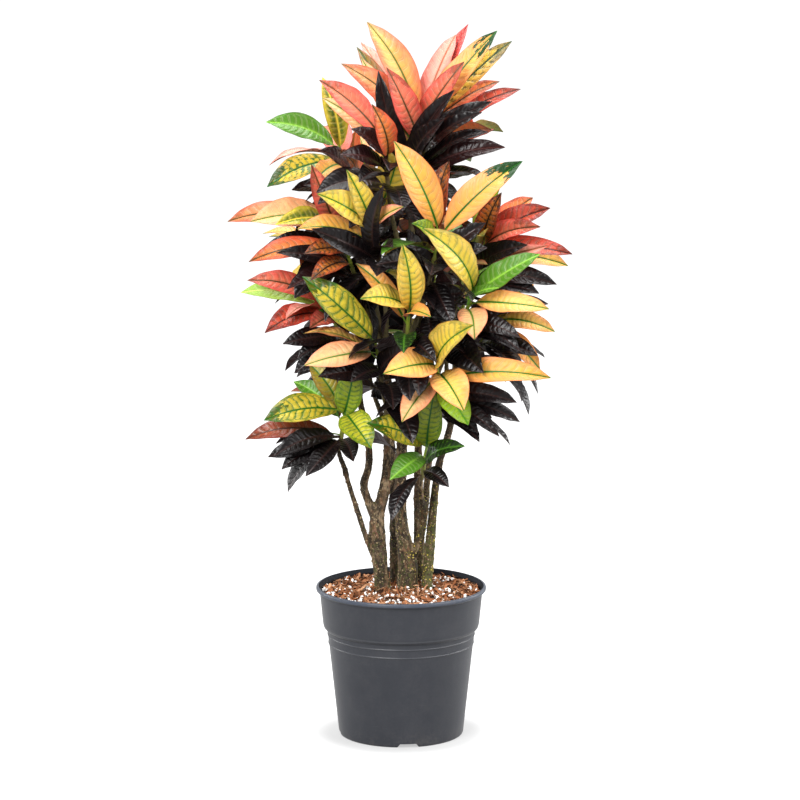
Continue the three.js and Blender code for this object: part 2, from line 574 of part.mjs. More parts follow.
// The leaves that the photograph shows are laid first, and then the others fill in round them.
for (const shown of [true, false]) {
  for (const [number, shoot] of SHOOTS.entries()) {
    const line = shootLine(shoot);
    const draw = drawer(1000 + 37 * number);
    for (const age of ['young', 'old']) {
      const young = age === 'young';
      const extra = shoot.fill[young ? 0 : 1];
      const count = shoot[age].length + extra;
      const foot = young ? 6 : line.young + 6;
      const reach = (young ? line.young : line.old) - 12;
      for (let i = 0; i < count; i++) {
        const base = line.below(foot + (reach * (i + 0.5)) / count);
        const row = shoot[age][i];
        if (Boolean(row) !== shown) continue;
        const leaf = row ? leafFromTip(base, line.tip, row) : leafByRule(base, shoot, i, young, draw);
        const owner = `${shoot.name}_${age}`;
        const blade = layLeaf(owner, leaf, shown);
        if (blade) blades.get(owner).push(blade);
      }
    }
  }
}

const GREENS = ['green', 'striped', 'stripedRound', 'lightGreen', 'greenYellow', 'yellowGreen'];
const CORALS = ['coral', 'salmon', 'orange', 'salmonYellow', 'coralDark', 'pink', 'peach'];

for (const shoot of SHOOTS) {
  const kind = shoot.young.length ? shoot.young[0][4] : FILL_KINDS[0];
  const bright = GREENS.includes(kind) ? 'green' : CORALS.includes(kind) ? 'coral' : 'yellow';
  for (const [age, colour] of [['young', bright], ['old', 'old']]) {
    const owner = `${shoot.name}_${age}`;
    const whole = blades.get(owner).reduce((all, next) => all.add(next), stems.get(owner));
    addNode(owner, mainBody(whole), COLOURS[colour]);
  }
}

addNode('pot', makePot(), COLOURS.pot);
addNode('soil', makeSoil(Object.keys(TRUNKS).map(trunkHole)), COLOURS.soil);

export default plant;
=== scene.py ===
"""A potted croton: its pot, potting mix, wood and leaves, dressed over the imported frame.

The rows and rules of the stems and leaves repeat the part's source, in millimetres, so that each
fine piece lies where its solid lies. Meshes are written out in metres.
"""
import json
import math

import bmesh
import bpy
import numpy as np
from bpy.props import FloatProperty, FloatVectorProperty, IntProperty, PointerProperty
from mathutils import Matrix, Vector, noise
from mathutils.kdtree import KDTree

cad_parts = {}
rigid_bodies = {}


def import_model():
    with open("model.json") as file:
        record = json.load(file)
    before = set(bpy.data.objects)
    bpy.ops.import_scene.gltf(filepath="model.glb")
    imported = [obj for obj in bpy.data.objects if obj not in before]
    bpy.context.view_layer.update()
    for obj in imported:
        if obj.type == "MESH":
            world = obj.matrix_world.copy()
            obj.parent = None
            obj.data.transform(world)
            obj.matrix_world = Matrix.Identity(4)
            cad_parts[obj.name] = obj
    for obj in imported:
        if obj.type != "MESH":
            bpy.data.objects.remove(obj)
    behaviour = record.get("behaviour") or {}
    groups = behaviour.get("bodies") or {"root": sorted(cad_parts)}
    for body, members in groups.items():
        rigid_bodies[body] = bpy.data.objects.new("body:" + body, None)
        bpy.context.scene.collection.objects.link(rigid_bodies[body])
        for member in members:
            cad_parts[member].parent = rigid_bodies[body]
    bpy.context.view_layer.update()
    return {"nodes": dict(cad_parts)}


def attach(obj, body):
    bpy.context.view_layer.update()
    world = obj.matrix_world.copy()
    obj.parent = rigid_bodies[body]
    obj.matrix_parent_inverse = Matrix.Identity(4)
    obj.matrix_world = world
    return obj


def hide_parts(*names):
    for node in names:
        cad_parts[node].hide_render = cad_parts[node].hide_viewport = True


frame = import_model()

bl_info = {
    "name": "Potted Croton",
    "version": (1, 0, 0),
    "blender": (4, 5, 0),
    "location": "3D View > Sidebar > Croton",
    "description": "Dresses a potted croton in a nursery pot over its packed frame",
    "category": "Add Mesh",
}

MM = 0.001
BODY = "root"

# Pot, as in the source
POT_HEIGHT = 240
RIM_RADIUS = 135
COLLAR_TOP_RADIUS = 129
COLLAR_FOOT_RADIUS = 124
COLLAR_FOOT = 176
NECK_RADIUS = 117.3
FOOT_RADIUS = 99
WALL = 2.4
FLOOR_TOP = 11
FLOOR_UNDER = 8.2
PAD_RADIUS = 20
RIDGES = (148.5, 162)
RIDGE_PROUD = 0.9
NOTCH = dict(count=4, foot=35, top=25, height=6, bearing=-83.5)
DRAIN = dict(count=6, radius=6, ring=60)

# Potting mix, wood and shoots, as in the source
SOIL_TOP = 230
SOIL_CLEAR = 0.4
SOIL_RELIEF = 2.4
GAP = 0.3
TRUNK_FOOT = 150
SHOOT_RADIUS = 3.6
SHOOT_TOP_RADIUS = 2.2
TWIG_RADIUS = 5
BUD = 14
YOUNG_STEM = 50
OLD_STEM = 60
LEAN = 0.35

# Leaf blades, as in the source
PETIOLE_SHARE = 0.12
ARCH = 0.13
FOLD = 0.3
WAVE = 2.2
PLAIN_FOLD = 0.05
PLAIN_WAVE = 0.7
OUTLINE = ((0.4, 0.9), (0.7, 0.92))
VIEWER = (0, -0.8, 0.6)
GOLDEN_ANGLE = 137.5
AGES = ("young", "old")
STEM_MARGIN = 6
FACTOR = 16807
MODULUS = 2147483647
RULE_SEED = 1000
RULE_SEED_STEP = 37
RULE_SPREAD = 75
RULE_RISE = {"young": (10, 62), "old": (-42, 12)}
RULE_LENGTH = {"young": (112, 158), "old": (92, 132)}
RULE_WIDTH = (0.35, 0.43)
RULE_TURN = 25

# Ways that the source tries to lay a leaf, and how near a corner has to be to count as the same
MOST_TRIES = 5
TRY_WAYS = 8
TRY_STEP = 7
TRY_TURN = 9
TRY_SHORTER = 0.86
SAME_PLACE = 0.06

# Looks that the source doesn't have
OFF_AXIS = (0.3, 1, 0.1)
LIMB_STEP = 4
LEAST_STEPS = 8
FLARE = 0.3
FLARE_HEIGHT = 22
SCAR_SHIFT = 37
LOOKS_SEED = 500
LOOKS_SEED_STEP = 61
SPECK_SEED = 77
LEAF_SHARP = 55
RIB_SIDES = 6
STEM_SIDES = 10
STEM_RINGS = 22
BARK_SIDES = 20
SOIL_SIDES = 144
SOIL_RINGS = 45
DRAIN_SIDES = 32
STREWN = "strewn"
FLOOR_REACH = 30000
SENSOR = 36.0
CAMERA_REACH = 100.0
# Each lamp is its name, its place and its size in metres, and its power as a share of the key's.
LAMPS = (
    ("front_box", (-1.6, -3.0, 2.6), 2.4, 1.0),
    ("side_box", (2.6, -1.4, 2.0), 2.4, 0.42),
    ("top_box", (0.2, 0.6, 3.4), 3.0, 0.8),
    ("right_rim_box", (3.2, 1.3, 1.3), 2.2, 0.46),
    ("left_rim_box", (-3.2, 1.5, 1.3), 2.2, 0.34),
)
LAMPS_AIM = (0, 0, 0.6)

# Each limb is its points, its start radius and its end radius.
TRUNKS = {
  "trunk_left": [
    [[(-29, -4, TRUNK_FOOT), (-29, -4, 224), (-38, -4, 350), (-30, -5, 380), (-21, -5, 430),
      (-20, -5, 500), (-24, -5, 600), (-42, -2, 690), (-57, 0, 780)], 11.5, 5],
    [[(-37, -4, 335), (-51, -3, 374), (-59, -2, 403), (-51, 0, 432), (-53, 2, 480),
      (-66, 5, 540)], 7, 5],
    [[(-35, -5, 268), (-52, -10, 310), (-74, -18, 380), (-90, -27, 435)], 4.6, 3.8],
  ],
  "trunk_middle": [
    [[(10, 8, TRUNK_FOOT), (10, 8, 224), (10, 8, 280), (1, 9, 333), (-1, 9, 395), (1, 6, 456),
      (5, 0, 540), (9, -5, 640), (13, -5, 740), (17, -1, 820)], 12, 5],
    [[(10, 7, 272), (27, 4, 305), (37, -6, 356), (41, -22, 416), (46, -40, 462)], 6.5, 5],
  ],
  "trunk_right": [
    [[(40, -2, TRUNK_FOOT), (40, -2, 224), (48, -1, 333), (54, 0, 395), (61, 1, 440),
      (76, 2, 490), (84, 4, 560), (85, 8, 630)], 8, 4.6],
  ],
  "trunk_back_left": [
    [[(-8, 42, TRUNK_FOOT), (-8, 42, 224), (-13, 50, 400), (-20, 60, 520), (-30, 64, 640),
      (-36, 68, 740)], 8.5, 4.6],
  ],
  "trunk_back_right": [
    [[(30, 44, TRUNK_FOOT), (30, 44, 224), (27, 50, 400), (28, 56, 520), (30, 58, 640),
      (31, 60, 740)], 8.5, 4.6],
  ],
}
# Each shoot has its tip, the trunk, limb and height that its twig leaves from, and how many leaves
# fill in by rule on its young and its old stretch. Each leaf is x, y and z of its tip from the
# shoot's tip, its width, its kind and its turn, of which the last two may be left out.
LEAF_DEFAULTS = ("dark", 0)
SHOOTS = [
    dict(name="crown", tip=(30, 0, 980), stems=(66, 62), on=("trunk_middle", 0, 790), fill=(1, 6),
         young=[(-80, -30, 154, 50, "salmonYellow"), (118, -20, 140, 42, "paleTip"),
                (142, 28, 120, 36, "speckled"), (66, -62, 96, 40, "coral"),
                (61, 18, 130, 42, "pink"), (80, 45, 145, 26, "red"), (96, 8, 88, 40, "orange"),
                (-120, -45, 92, 46, "salmon"), (-50, -84, 88, 44, "coral"),
                (-98, 28, 112, 30, "olive"), (-84, 48, 126, 36, "pink"), (-90, 8, 96, 32, "peach"),
                (156, 20, 46, 34, "coralDark")],
         old=[(109, -70, 36, 40), (92, -95, 22, 38), (50, -95, 56, 36), (28, -118, 4, 40),
              (-41, -74, 80, 36), (129, -45, -36, 42, "maroon"), (84, -84, -10, 34),
              (22, -78, -86, 34, "maroon")]),
    dict(name="upper_front", tip=(-28, -60, 962), on=("trunk_middle", 0, 700), fill=(0, 6),
         young=[(-95, -40, 90, 44, "coral"), (-92, -8, 60, 32, "peach"),
                (-14, -80, 55, 38, "orange")],
         old=[(-44, -88, 10, 38, "maroon"), (-64, -78, -20, 38, "maroon"), (10, -98, -12, 36),
              (-26, -92, -50, 38)]),
    dict(name="upper_left", tip=(-99, 0, 942), on=("trunk_left", 0, 760), fill=(1, 6),
         young=[(-109, -50, 40, 44, "green"), (-22, -40, 108, 36, "greenYellow"),
                (-106, -20, -30, 32, "pink", 50), (-108, -50, -60, 42, "blotched"),
                (-36, -76, -52, 34, "yellow")],
         old=[(-25, -92, 2, 38, "maroon"), (-40, -80, -54, 36), (6, -88, 2, 32, "orangeBrown"),
              (22, -60, -88, 34, "coral")]),
    dict(name="mid_front", tip=(-42, -90, 826), on=("trunk_left", 0, 600), fill=(1, 6),
         young=[(-84, -60, 58, 50, "oliveYellow"), (-40, -44, 92, 38, "oliveYellow"),
                (43, -85, 42, 34, "pinkYellow")],
         old=[(-22, -74, 70, 34), (-73, -80, 4, 38), (30, -90, -20, 36)]),
    dict(name="mid_right", tip=(61, -100, 820), on=("trunk_middle", 0, 600), fill=(1, 6),
         young=[(-70, -30, 141, 56, "yellow"), (121, -30, 112, 52, "paleTip"),
                (16, 20, 105, 42, "orangeBrown"), (-45, -62, 20, 32, "yellowGreen")],
         old=[(58, -30, 24, 36), (70, -24, -22, 36)]),
    dict(name="right_front", tip=(114, -80, 724), on=("trunk_right", 0, 530), fill=(0, 6),
         young=[(-95, -104, 113, 54, "oliveYellow"), (97, -60, 66, 44, "green"),
                (112, -55, -19, 40, "orangeYellow"), (-2, -72, -63, 48, "peach"),
                (30, -56, 25, 26, "green")],
         old=[(113, 0, -19, 34), (68, -44, -64, 34), (60, -60, -84, 34)]),
    dict(name="right_back", tip=(134, 20, 789), on=("trunk_right", 0, 610), fill=(1, 6),
         young=[(20, -64, 82, 38, "orangeBrown"), (72, 12, 66, 40, "orange"),
                (95, -50, 58, 48, "coralDark"), (78, -84, 34, 42, "coral"),
                (132, -60, -14, 38, "coralDark"), (127, -20, -38, 38, "orangeYellow"),
                (92, -92, 4, 30, "pink", 45), (54, 34, 90, 34, "yellowGreen")],
         old=[(70, -98, -4, 40), (108, -44, -62, 38)]),
    dict(name="front", tip=(12, -125, 710), on=("trunk_middle", 0, 500), fill=(0, 6),
         young=[(-73, -70, 20, 44, "oliveYellow"), (-17, -58, 94, 46, "oliveYellow"),
                (32, -86, -4, 34, "yellow"), (-81, 14, 62, 32, "yellow")],
         old=[(-8, -66, -62, 38, "darkGreen"), (40, -60, -76, 36)]),
    dict(name="left_front", tip=(-40, -90, 650), on=("trunk_left", 0, 440), fill=(1, 6),
         young=[(-109, -40, 104, 54, "striped"), (-107, -65, -28, 46, "peach")],
         old=[(-37, -85, -52, 38), (-87, -62, -48, 42), (36, -84, -20, 36)]),
    dict(name="low_front", tip=(57, -120, 620), lean=(0.05, -0.42), on=("trunk_middle", 1, 452),
         fill=(0, 5),
         young=[(-92, -75, -2, 56, "orangeYellow"), (48, -92, 72, 64, "oliveYellow"),
                (38, -92, -60, 60, "orangeYellow"), (-56, -66, -82, 46, "peach"),
                (172, -40, -18, 46, "yellow"), (46, -36, -92, 46, "lime")],
         old=[(121, -5, -62, 36), (127, 14, -96, 32), (98, -32, -96, 32), (84, 24, -92, 32),
              (62, -14, -108, 32)]),
    dict(name="low_left", tip=(-86, -50, 537), lean=(0.15, -0.2), stems=(40, 34),
         on=("trunk_left", 2, 422), fill=(1, 6),
         young=[(-126, -50, -12, 52, "striped"), (40, -82, -50, 54, "stripedRound"),
                (-57, 12, 66, 38, "oliveGreen"), (16, -28, 75, 46, "yellowGreen"),
                (-82, 24, 36, 34, "green")],
         old=[(-37, -12, 60, 32), (-157, -10, -48, 36, "redOrange"), (-111, -56, -68, 36),
              (-122, -12, -78, 34), (-62, -54, -100, 34), (12, -56, -76, 34)]),
    dict(name="low_middle", tip=(41, -60, 484), lean=(0.14, -0.2), stems=(36, 30),
         on=("trunk_middle", 1, 345), fill=(0, 1),
         young=[(-91, -66, 42, 50, "striped"), (7, -58, 82, 44, "yellowGreen"),
                (-58, -76, -46, 40, "green")],
         old=[(56, -80, 8, 36, "darkGreen"), (33, -42, -64, 28)]),
    dict(name="left_upper_mid", tip=(-112, -20, 840), on=("trunk_left", 0, 660), fill=(1, 6),
         young=[(-159, 10, -16, 38, "salmon"), (-118, -62, -6, 56, "peach"),
                (-78, -92, -6, 38, "greenYellow"), (-40, -50, 80, 38, "coral")],
         old=[(-38, -98, -26, 36), (-100, -40, -50, 36)]),
    dict(name="left_mid", tip=(-88, -66, 796), on=("trunk_left", 0, 590), fill=(0, 6),
         young=[(-146, -30, -22, 38, "orange"), (-60, -90, -4, 34, "orangeBrown"),
                (-50, -94, -44, 34, "orangeBrown")],
         old=[(-103, -60, -6, 32), (-70, -80, -38, 38, "maroon")]),
    dict(name="left_lower", tip=(-119, 10, 696), on=("trunk_left", 1, 530), fill=(0, 5),
         young=[(-119, -40, 38, 40, "coral"), (-132, -6, 14, 36, "lightGreen"),
                (-60, -80, -16, 28, "pink", 45), (-86, -78, -28, 44, "coralDark"),
                (-22, -94, -30, 38, "coral"), (-40, -40, 84, 38, "orange")],
         old=[(-30, -92, 0, 38, "darkGreen"), (-65, -58, -60, 36), (-38, -64, -74, 34),
              (-48, -36, -110, 36)]),
    dict(name="right_lower", tip=(150, -10, 675), lean=(0.55, 0), stems=(45, 40),
         on=("trunk_right", 0, 500), fill=(0, 6),
         young=[(88, -62, -16, 36, "orangeYellow"), (66, -50, -78, 36, "yellow"),
                (30, -80, 40, 38, "oliveYellow")],
         old=[(60, -78, -50, 36), (20, -92, -30, 36)]),
    dict(name="heart_upper", tip=(-50, 14, 850), on=("trunk_middle", 0, 690), fill=(4, 11),
         old=[(34, -34, -46, 38), (-24, -40, -60, 38)]),
    dict(name="heart_lower", tip=(-50, 16, 722), on=("trunk_left", 0, 540), fill=(4, 10),
         old=[(62, -30, 44, 40), (-28, -24, 34, 40), (20, -40, 66, 40), (2, -40, -94, 40)]),
    dict(name="heart_right", tip=(56, 6, 752), on=("trunk_middle", 0, 570), fill=(4, 9),
         old=[(-44, -20, 58, 38), (40, -30, -40, 38), (-12, -40, -80, 38)]),
]
# The back's shoots don't show: each is its name, tip and trunk, and how high it leaves the trunk.
SHOOTS += [dict(name=name, tip=tip, on=(trunk, 0, height), fill=(8, 7))
           for name, tip, trunk, height in (
    ("back_upper_left", (-60, 110, 900), "trunk_back_left", 720),
    ("back_upper_right", (50, 100, 920), "trunk_back_right", 720),
    ("back_left", (-120, 90, 770), "trunk_back_left", 560),
    ("back", (10, 150, 780), "trunk_back_right", 560),
    ("back_right", (110, 110, 700), "trunk_back_right", 470),
    ("back_lower_left", (-70, 120, 640), "trunk_back_left", 450),
    ("back_lower", (40, 140, 610), "trunk_back_right", 410))]
FILL_KINDS = ("oliveYellow", "coral", "striped", "orangeYellow", "green", "peach", "yellow")
# The kind of a shoot's first young leaf says which slot its young stretch takes.
GREENS = ("green", "striped", "stripedRound", "lightGreen", "greenYellow", "yellowGreen")
CORALS = ("coral", "salmon", "orange", "salmonYellow", "coralDark", "pink", "peach")

# Each kind of leaf is the sRGB colours of its middle, its margin and its veins, and then how much
# of it is blotched, how dark its tip is and how widely its veins are striped, each from 0 to 1.
KINDS = {
    "yellow": ((240, 176, 72), (242, 156, 82), (34, 98, 24), 0.0, 0.15, 0.22),
    "oliveYellow": ((228, 198, 66), (232, 192, 84), (42, 100, 20), 0.15, 0.35, 0.4),
    "orangeYellow": ((249, 200, 98), (247, 168, 98), (48, 104, 24), 0.0, 0.12, 0.02),
    "salmonYellow": ((250, 188, 98), (245, 132, 94), (84, 96, 28), 0.0, 0.1, 0.02),
    "paleTip": ((247, 177, 84), (246, 160, 92), (30, 88, 26), 0.12, 1.0, 0.04),
    "speckled": ((226, 192, 64), (230, 178, 76), (24, 58, 20), 0.7, 0.7, 0.1),
    "coral": ((242, 124, 92), (236, 96, 82), (84, 56, 30), 0.16, 0.45, 0.24),
    "coralDark": ((212, 84, 56), (194, 66, 50), (62, 26, 20), 0.35, 0.5, 0.4),
    "pink": ((246, 166, 146), (242, 134, 120), (150, 84, 54), 0.0, 0.0, 0.06),
    "peach": ((248, 196, 132), (246, 164, 116), (84, 112, 34), 0.0, 0.0, 0.05),
    "salmon": ((246, 158, 100), (240, 120, 86), (80, 70, 30), 0.1, 0.4, 0.08),
    "red": ((206, 64, 54), (192, 54, 50), (130, 34, 32), 0.1, 0.0, 0.1),
    "orange": ((242, 136, 66), (236, 98, 62), (62, 50, 20), 0.3, 0.4, 0.3),
    "olive": ((138, 116, 38), (150, 90, 46), (48, 66, 26), 0.35, 0.2, 0.3),
    "orangeBrown": ((206, 122, 46), (206, 96, 52), (40, 28, 18), 0.65, 0.6, 0.7),
    "pinkYellow": ((240, 188, 104), (238, 146, 122), (74, 104, 34), 0.0, 0.0, 0.06),
    "maroon": ((40, 18, 19), (33, 16, 17), (62, 32, 29), 0.0, 0.0, 0.1),
    "dark": ((20, 16, 17), (17, 13, 15), (44, 28, 26), 0.0, 0.0, 0.12),
    "darkGreen": ((22, 46, 18), (22, 36, 18), (66, 110, 32), 0.6, 0.0, 0.2),
    "green": ((84, 138, 32), (74, 124, 30), (124, 174, 58), 0.0, 0.0, 0.1),
    "lightGreen": ((158, 198, 74), (150, 188, 76), (190, 216, 110), 0.0, 0.0, 0.12),
    "greenYellow": ((52, 98, 32), (206, 186, 56), (220, 196, 66), 0.35, 0.3, 0.3),
    "yellowGreen": ((166, 182, 44), (150, 172, 40), (34, 92, 20), 0.3, 0.3, 0.72),
    "oliveGreen": ((172, 164, 50), (164, 128, 48), (52, 96, 26), 0.15, 0.2, 0.4),
    "lime": ((152, 190, 36), (142, 178, 36), (80, 140, 36), 0.0, 0.1, 0.3),
    "striped": ((224, 200, 58), (208, 182, 54), (34, 94, 18), 0.45, 0.85, 0.86),
    "stripedRound": ((214, 208, 56), (190, 196, 46), (36, 98, 20), 0.3, 0.5, 0.78),
    "redOrange": ((160, 76, 44), (138, 56, 38), (74, 36, 24), 0.35, 0.3, 0.25),
    "blotched": ((228, 200, 58), (220, 180, 66), (28, 90, 32), 0.8, 0.9, 0.4),
}
# A dark leaf takes one of these in place of its kind's colours.
DARK_TINTS = (
    ((20, 16, 17), (17, 13, 15), (44, 28, 26)),
    ((31, 18, 19), (26, 15, 17), (60, 34, 31)),
    ((24, 27, 19), (20, 22, 18), (56, 66, 34)),
    ((15, 15, 17), (13, 13, 15), (40, 40, 44)),
)
# Each slot of the leaves has a name, a roughness and a gloss.
LEAF_SKINS = {
    "leaf_yellow": ("Yellow Leaf", 0.42, 0.3),
    "leaf_coral": ("Coral Leaf", 0.42, 0.3),
    "leaf_green": ("Green Leaf", 0.36, 0.35),
    "leaf_dark": ("Dark Leaf", 0.29, 0.32),
}
# How a trunk swells: by what share, how high above the mix, and over what height.
GIRTHS = {"trunk_left": (0.34, 88, 46), "trunk_middle": (0.42, 34, 42)}
PLAIN_GIRTH = (0.16, 60, 60)
GREEN_KINDS = ("green", "lightGreen", "greenYellow", "yellowGreen", "lime", "striped",
               "stripedRound", "blotched", "oliveYellow", "oliveGreen", "olive")
UNDER_BRIGHT = ((242, 146, 108), (240, 124, 96))
UNDER_GREEN = ((168, 176, 82), (186, 166, 84))
UNDER_DARK = ((58, 32, 33), (48, 27, 29))
PETIOLE_COLOUR = (118, 152, 44)
OLD_PETIOLE_COLOUR = (70, 50, 34)
GREEN_STEM = (150, 172, 52)
WOODY_STEM = (96, 84, 52)
GLOSSY_KINDS = ("dark", "maroon", "darkGreen")


def linear(rgb):
    """An sRGB colour of 0 to 255 as Blender's linear one."""
    shares = [part / 255 for part in rgb]
    return (*(x / 12.92 if x <= 0.04045 else ((x + 0.055) / 1.055) ** 2.4 for x in shares), 1.0)


def drawer(seed):
    """Park and Miller's generator, the same as the source's."""
    state = seed

    def draw(low, high):
        nonlocal state
        state = state * FACTOR % MODULUS
        return low + (high - low) * state / MODULUS

    return draw


def unit(way):
    way = np.asarray(way, float)
    return way / np.linalg.norm(way)


def ease(values, low, high):
    """0 below low, 1 above high and smooth between."""
    x = np.clip((np.asarray(values, float) - low) / (high - low), 0, 1)
    return x * x * (3 - 2 * x)


class Curve:
    """A centripetal curve through points, walked by its length, as the source's limbs are."""

    def __init__(self, points, count=600):
        p = [np.array(point, float) for point in points]
        p = [2 * p[0] - p[1], *p, 2 * p[-1] - p[-2]]
        last = len(p) - 3
        places = []
        for k in range(count + 1):
            i = min(last * k // count, last - 1)
            places.append(self.between(*p[i:i + 4], last * k / count - i))
        self.places = np.array(places)
        steps = np.linalg.norm(np.diff(self.places, axis=0), axis=1)
        self.walked = np.concatenate([[0], np.cumsum(steps)])
        self.length = self.walked[-1]

    @staticmethod
    def between(p0, p1, p2, p3, w):
        d0, d1, d2 = (np.linalg.norm(b - a) ** 0.5 for a, b in ((p0, p1), (p1, p2), (p2, p3)))
        t1 = d1 * ((p1 - p0) / d0 - (p2 - p0) / (d0 + d1) + (p2 - p1) / d1)
        t2 = d1 * ((p2 - p1) / d1 - (p3 - p1) / (d1 + d2) + (p3 - p2) / d2)
        square, cube = 3 * (p2 - p1) - 2 * t1 - t2, 2 * (p1 - p2) + t1 + t2
        return p1 + t1 * w + square * w**2 + cube * w**3

    def at(self, shares):
        walked = shares * self.length
        return np.stack([np.interp(walked, self.walked, axis) for axis in self.places.T], axis=1)

    def at_height(self, z):
        return self.places[np.argmin(np.abs(self.places[:, 2] - z))]


def ring_faces(rings, turned=False):
    """Faces between rings of point numbers, where a ring of one point closes an end."""
    sides = max(len(ring) for ring in rings)
    faces = []
    for low, high in zip(rings, rings[1:]):
        for i in range(sides):
            j = (i + 1) % sides
            quad = [ring[k % len(ring)] for ring, k in ((low, i), (low, j), (high, j), (high, i))]
            if turned:
                quad = quad[:1] + quad[:0:-1]
            faces.append(tuple(dict.fromkeys(quad)))
    return faces


def tube(places, radii, sides):
    """Points and faces of a closed tube, each ring turned as little as can be from the last."""
    along = np.gradient(places, axis=0)
    along /= np.linalg.norm(along, axis=1)[:, None]
    across = np.cross(along[0], OFF_AXIS)
    angles = 2 * np.pi * np.arange(sides)[:, None] / sides
    points = []
    for place, way, radius in zip(places, along, radii):
        across = unit(across - way * np.dot(across, way))
        turned = np.cos(angles) * across + np.sin(angles) * np.cross(way, across)
        points.append(place + radius * turned)
    rings = [range(i, i + sides) for i in range(0, len(places) * sides, sides)]
    ends = len(places) * sides
    faces = ring_faces(rings)
    for i, j in zip(range(sides), [*range(1, sides), 0]):
        faces += [(ends, j, i), (ends + 1, rings[-1][i], rings[-1][j])]
    return np.concatenate([*points, places[[0, -1]]]), faces


def mesh_of(name, points, faces):
    """A mesh in metres from points in millimetres, with smooth faces."""
    mesh = bpy.data.meshes.new(name)
    mesh.from_pydata((np.asarray(points) * MM).tolist(), [], faces)
    mesh.shade_smooth()
    return mesh


def mesh_of_rings(name, rings, turned=False):
    """A closed mesh over rings of points, of which the first and the last are one point each."""
    starts = np.cumsum([0, *map(len, rings)]).tolist()
    numbers = [range(start, end) for start, end in zip(starts, starts[1:])]
    return mesh_of(name, np.concatenate(rings), ring_faces(numbers, turned))


def paint(mesh, *materials):
    mesh.materials.clear()
    for material in materials:
        mesh.materials.append(material)


def add_piece(name, mesh, material=None):
    piece = bpy.data.objects.new(name, mesh)
    bpy.context.scene.collection.objects.link(piece)
    if material:
        paint(mesh, material)
    return piece


def hold(mesh, name, values):
    """Stores a number, a vector or a colour for each point of a mesh."""
    kind, field = {1: ("FLOAT", "value"), 3: ("FLOAT_VECTOR", "vector"),
                   4: ("FLOAT_COLOR", "color")}[values.size // len(values)]
    layer = mesh.attributes.new(name, kind, "POINT")
    layer.data.foreach_set(field, np.ascontiguousarray(values, np.float32).ravel())


def settle(piece):
    """Turns a piece and its modifiers into a plain mesh."""
    graph = bpy.context.evaluated_depsgraph_get()
    mesh = bpy.data.meshes.new_from_object(piece.evaluated_get(graph), depsgraph=graph)
    old = piece.data
    piece.modifiers.clear()
    piece.data = mesh
    bpy.data.meshes.remove(old)


def read_rows(items, field="co"):
    """A vector of each item, such as a vertex's place in metres, as rows."""
    flat = np.empty(len(items) * 3, np.float32)
    items.foreach_get(field, flat)
    return flat.reshape(-1, 3).astype(float)


def move_points(mesh, points):
    """Moves a mesh's points to places in millimetres."""
    flat = np.ascontiguousarray(points * MM, np.float32).ravel()
    mesh.vertices.foreach_set("co", flat)
    mesh.update()


def tree_of(points):
    """A search tree of points."""
    tree = KDTree(len(points))
    for number, point in enumerate(points):
        tree.insert(Vector(point), number)
    tree.balance()
    return tree


def shoot_line(shoot):
    """A shoot's tip and way, the lengths of its two stretches, and its place below the tip."""
    tip = np.array(shoot["tip"], float)
    lean = shoot.get("lean", (LEAN * tip[0] / 100, LEAN * tip[1] / 100))
    direction = unit((*lean, 1))
    young, old = shoot.get("stems", (YOUNG_STEM, OLD_STEM))
    return tip, direction, young, old, lambda distance: tip - distance * direction


def leaf_from_tip(base, shoot_tip, row):
    """A leaf that the photograph shows, by where its own tip lies."""
    x, y, z, width, kind, turn = (*row, *LEAF_DEFAULTS[len(row) - 4:])
    chord = shoot_tip + np.array((x, y, z)) - base
    length = np.linalg.norm(chord)
    return dict(base=base, length=length, bearing=math.degrees(math.atan2(chord[1], chord[0])),
                rise=math.degrees(math.asin(chord[2] / length)), width=width, kind=kind,
                turn=turn, face=VIEWER, plain=False)


def leaf_by_rule(base, shoot, number, age, draw):
    """A leaf that the photograph doesn't show, with the same draws as in the source."""
    outward = math.degrees(math.atan2(shoot["tip"][1], shoot["tip"][0]))
    shown = "young" in shoot
    spread = draw(-RULE_SPREAD, RULE_SPREAD) if shown else number * GOLDEN_ANGLE
    bearing = (outward if shown else 20 * shoot["tip"][2]) + spread
    rise = draw(*RULE_RISE[age])
    length = draw(*RULE_LENGTH[age])
    width = length * draw(*RULE_WIDTH)
    kind = FILL_KINDS[math.floor(draw(0, len(FILL_KINDS)))] if age == "young" else "dark"
    away = math.radians(bearing)
    face = (0.5 * math.cos(away), 0.5 * math.sin(away), 0.9)
    return dict(base=base, length=length, bearing=bearing, rise=rise, width=width,
                turn=draw(-RULE_TURN, RULE_TURN), kind=kind, face=face, plain=True)


def ways_to_lay(leaf):
    """Every way that the source tries to lay a leaf, in its order."""
    yield leaf
    for scale in (1, TRY_SHORTER):
        for ring in range(1, MOST_TRIES + 1):
            for i in range(TRY_WAYS):
                angle = 2 * math.pi * i / TRY_WAYS
                yield dict(leaf, bearing=leaf["bearing"] + TRY_STEP * ring * math.cos(angle),
                           rise=leaf["rise"] + TRY_STEP * ring * math.sin(angle),
                           turn=leaf["turn"] + (TRY_TURN if i % 2 else -TRY_TURN) * ring,
                           length=leaf["length"] * scale)


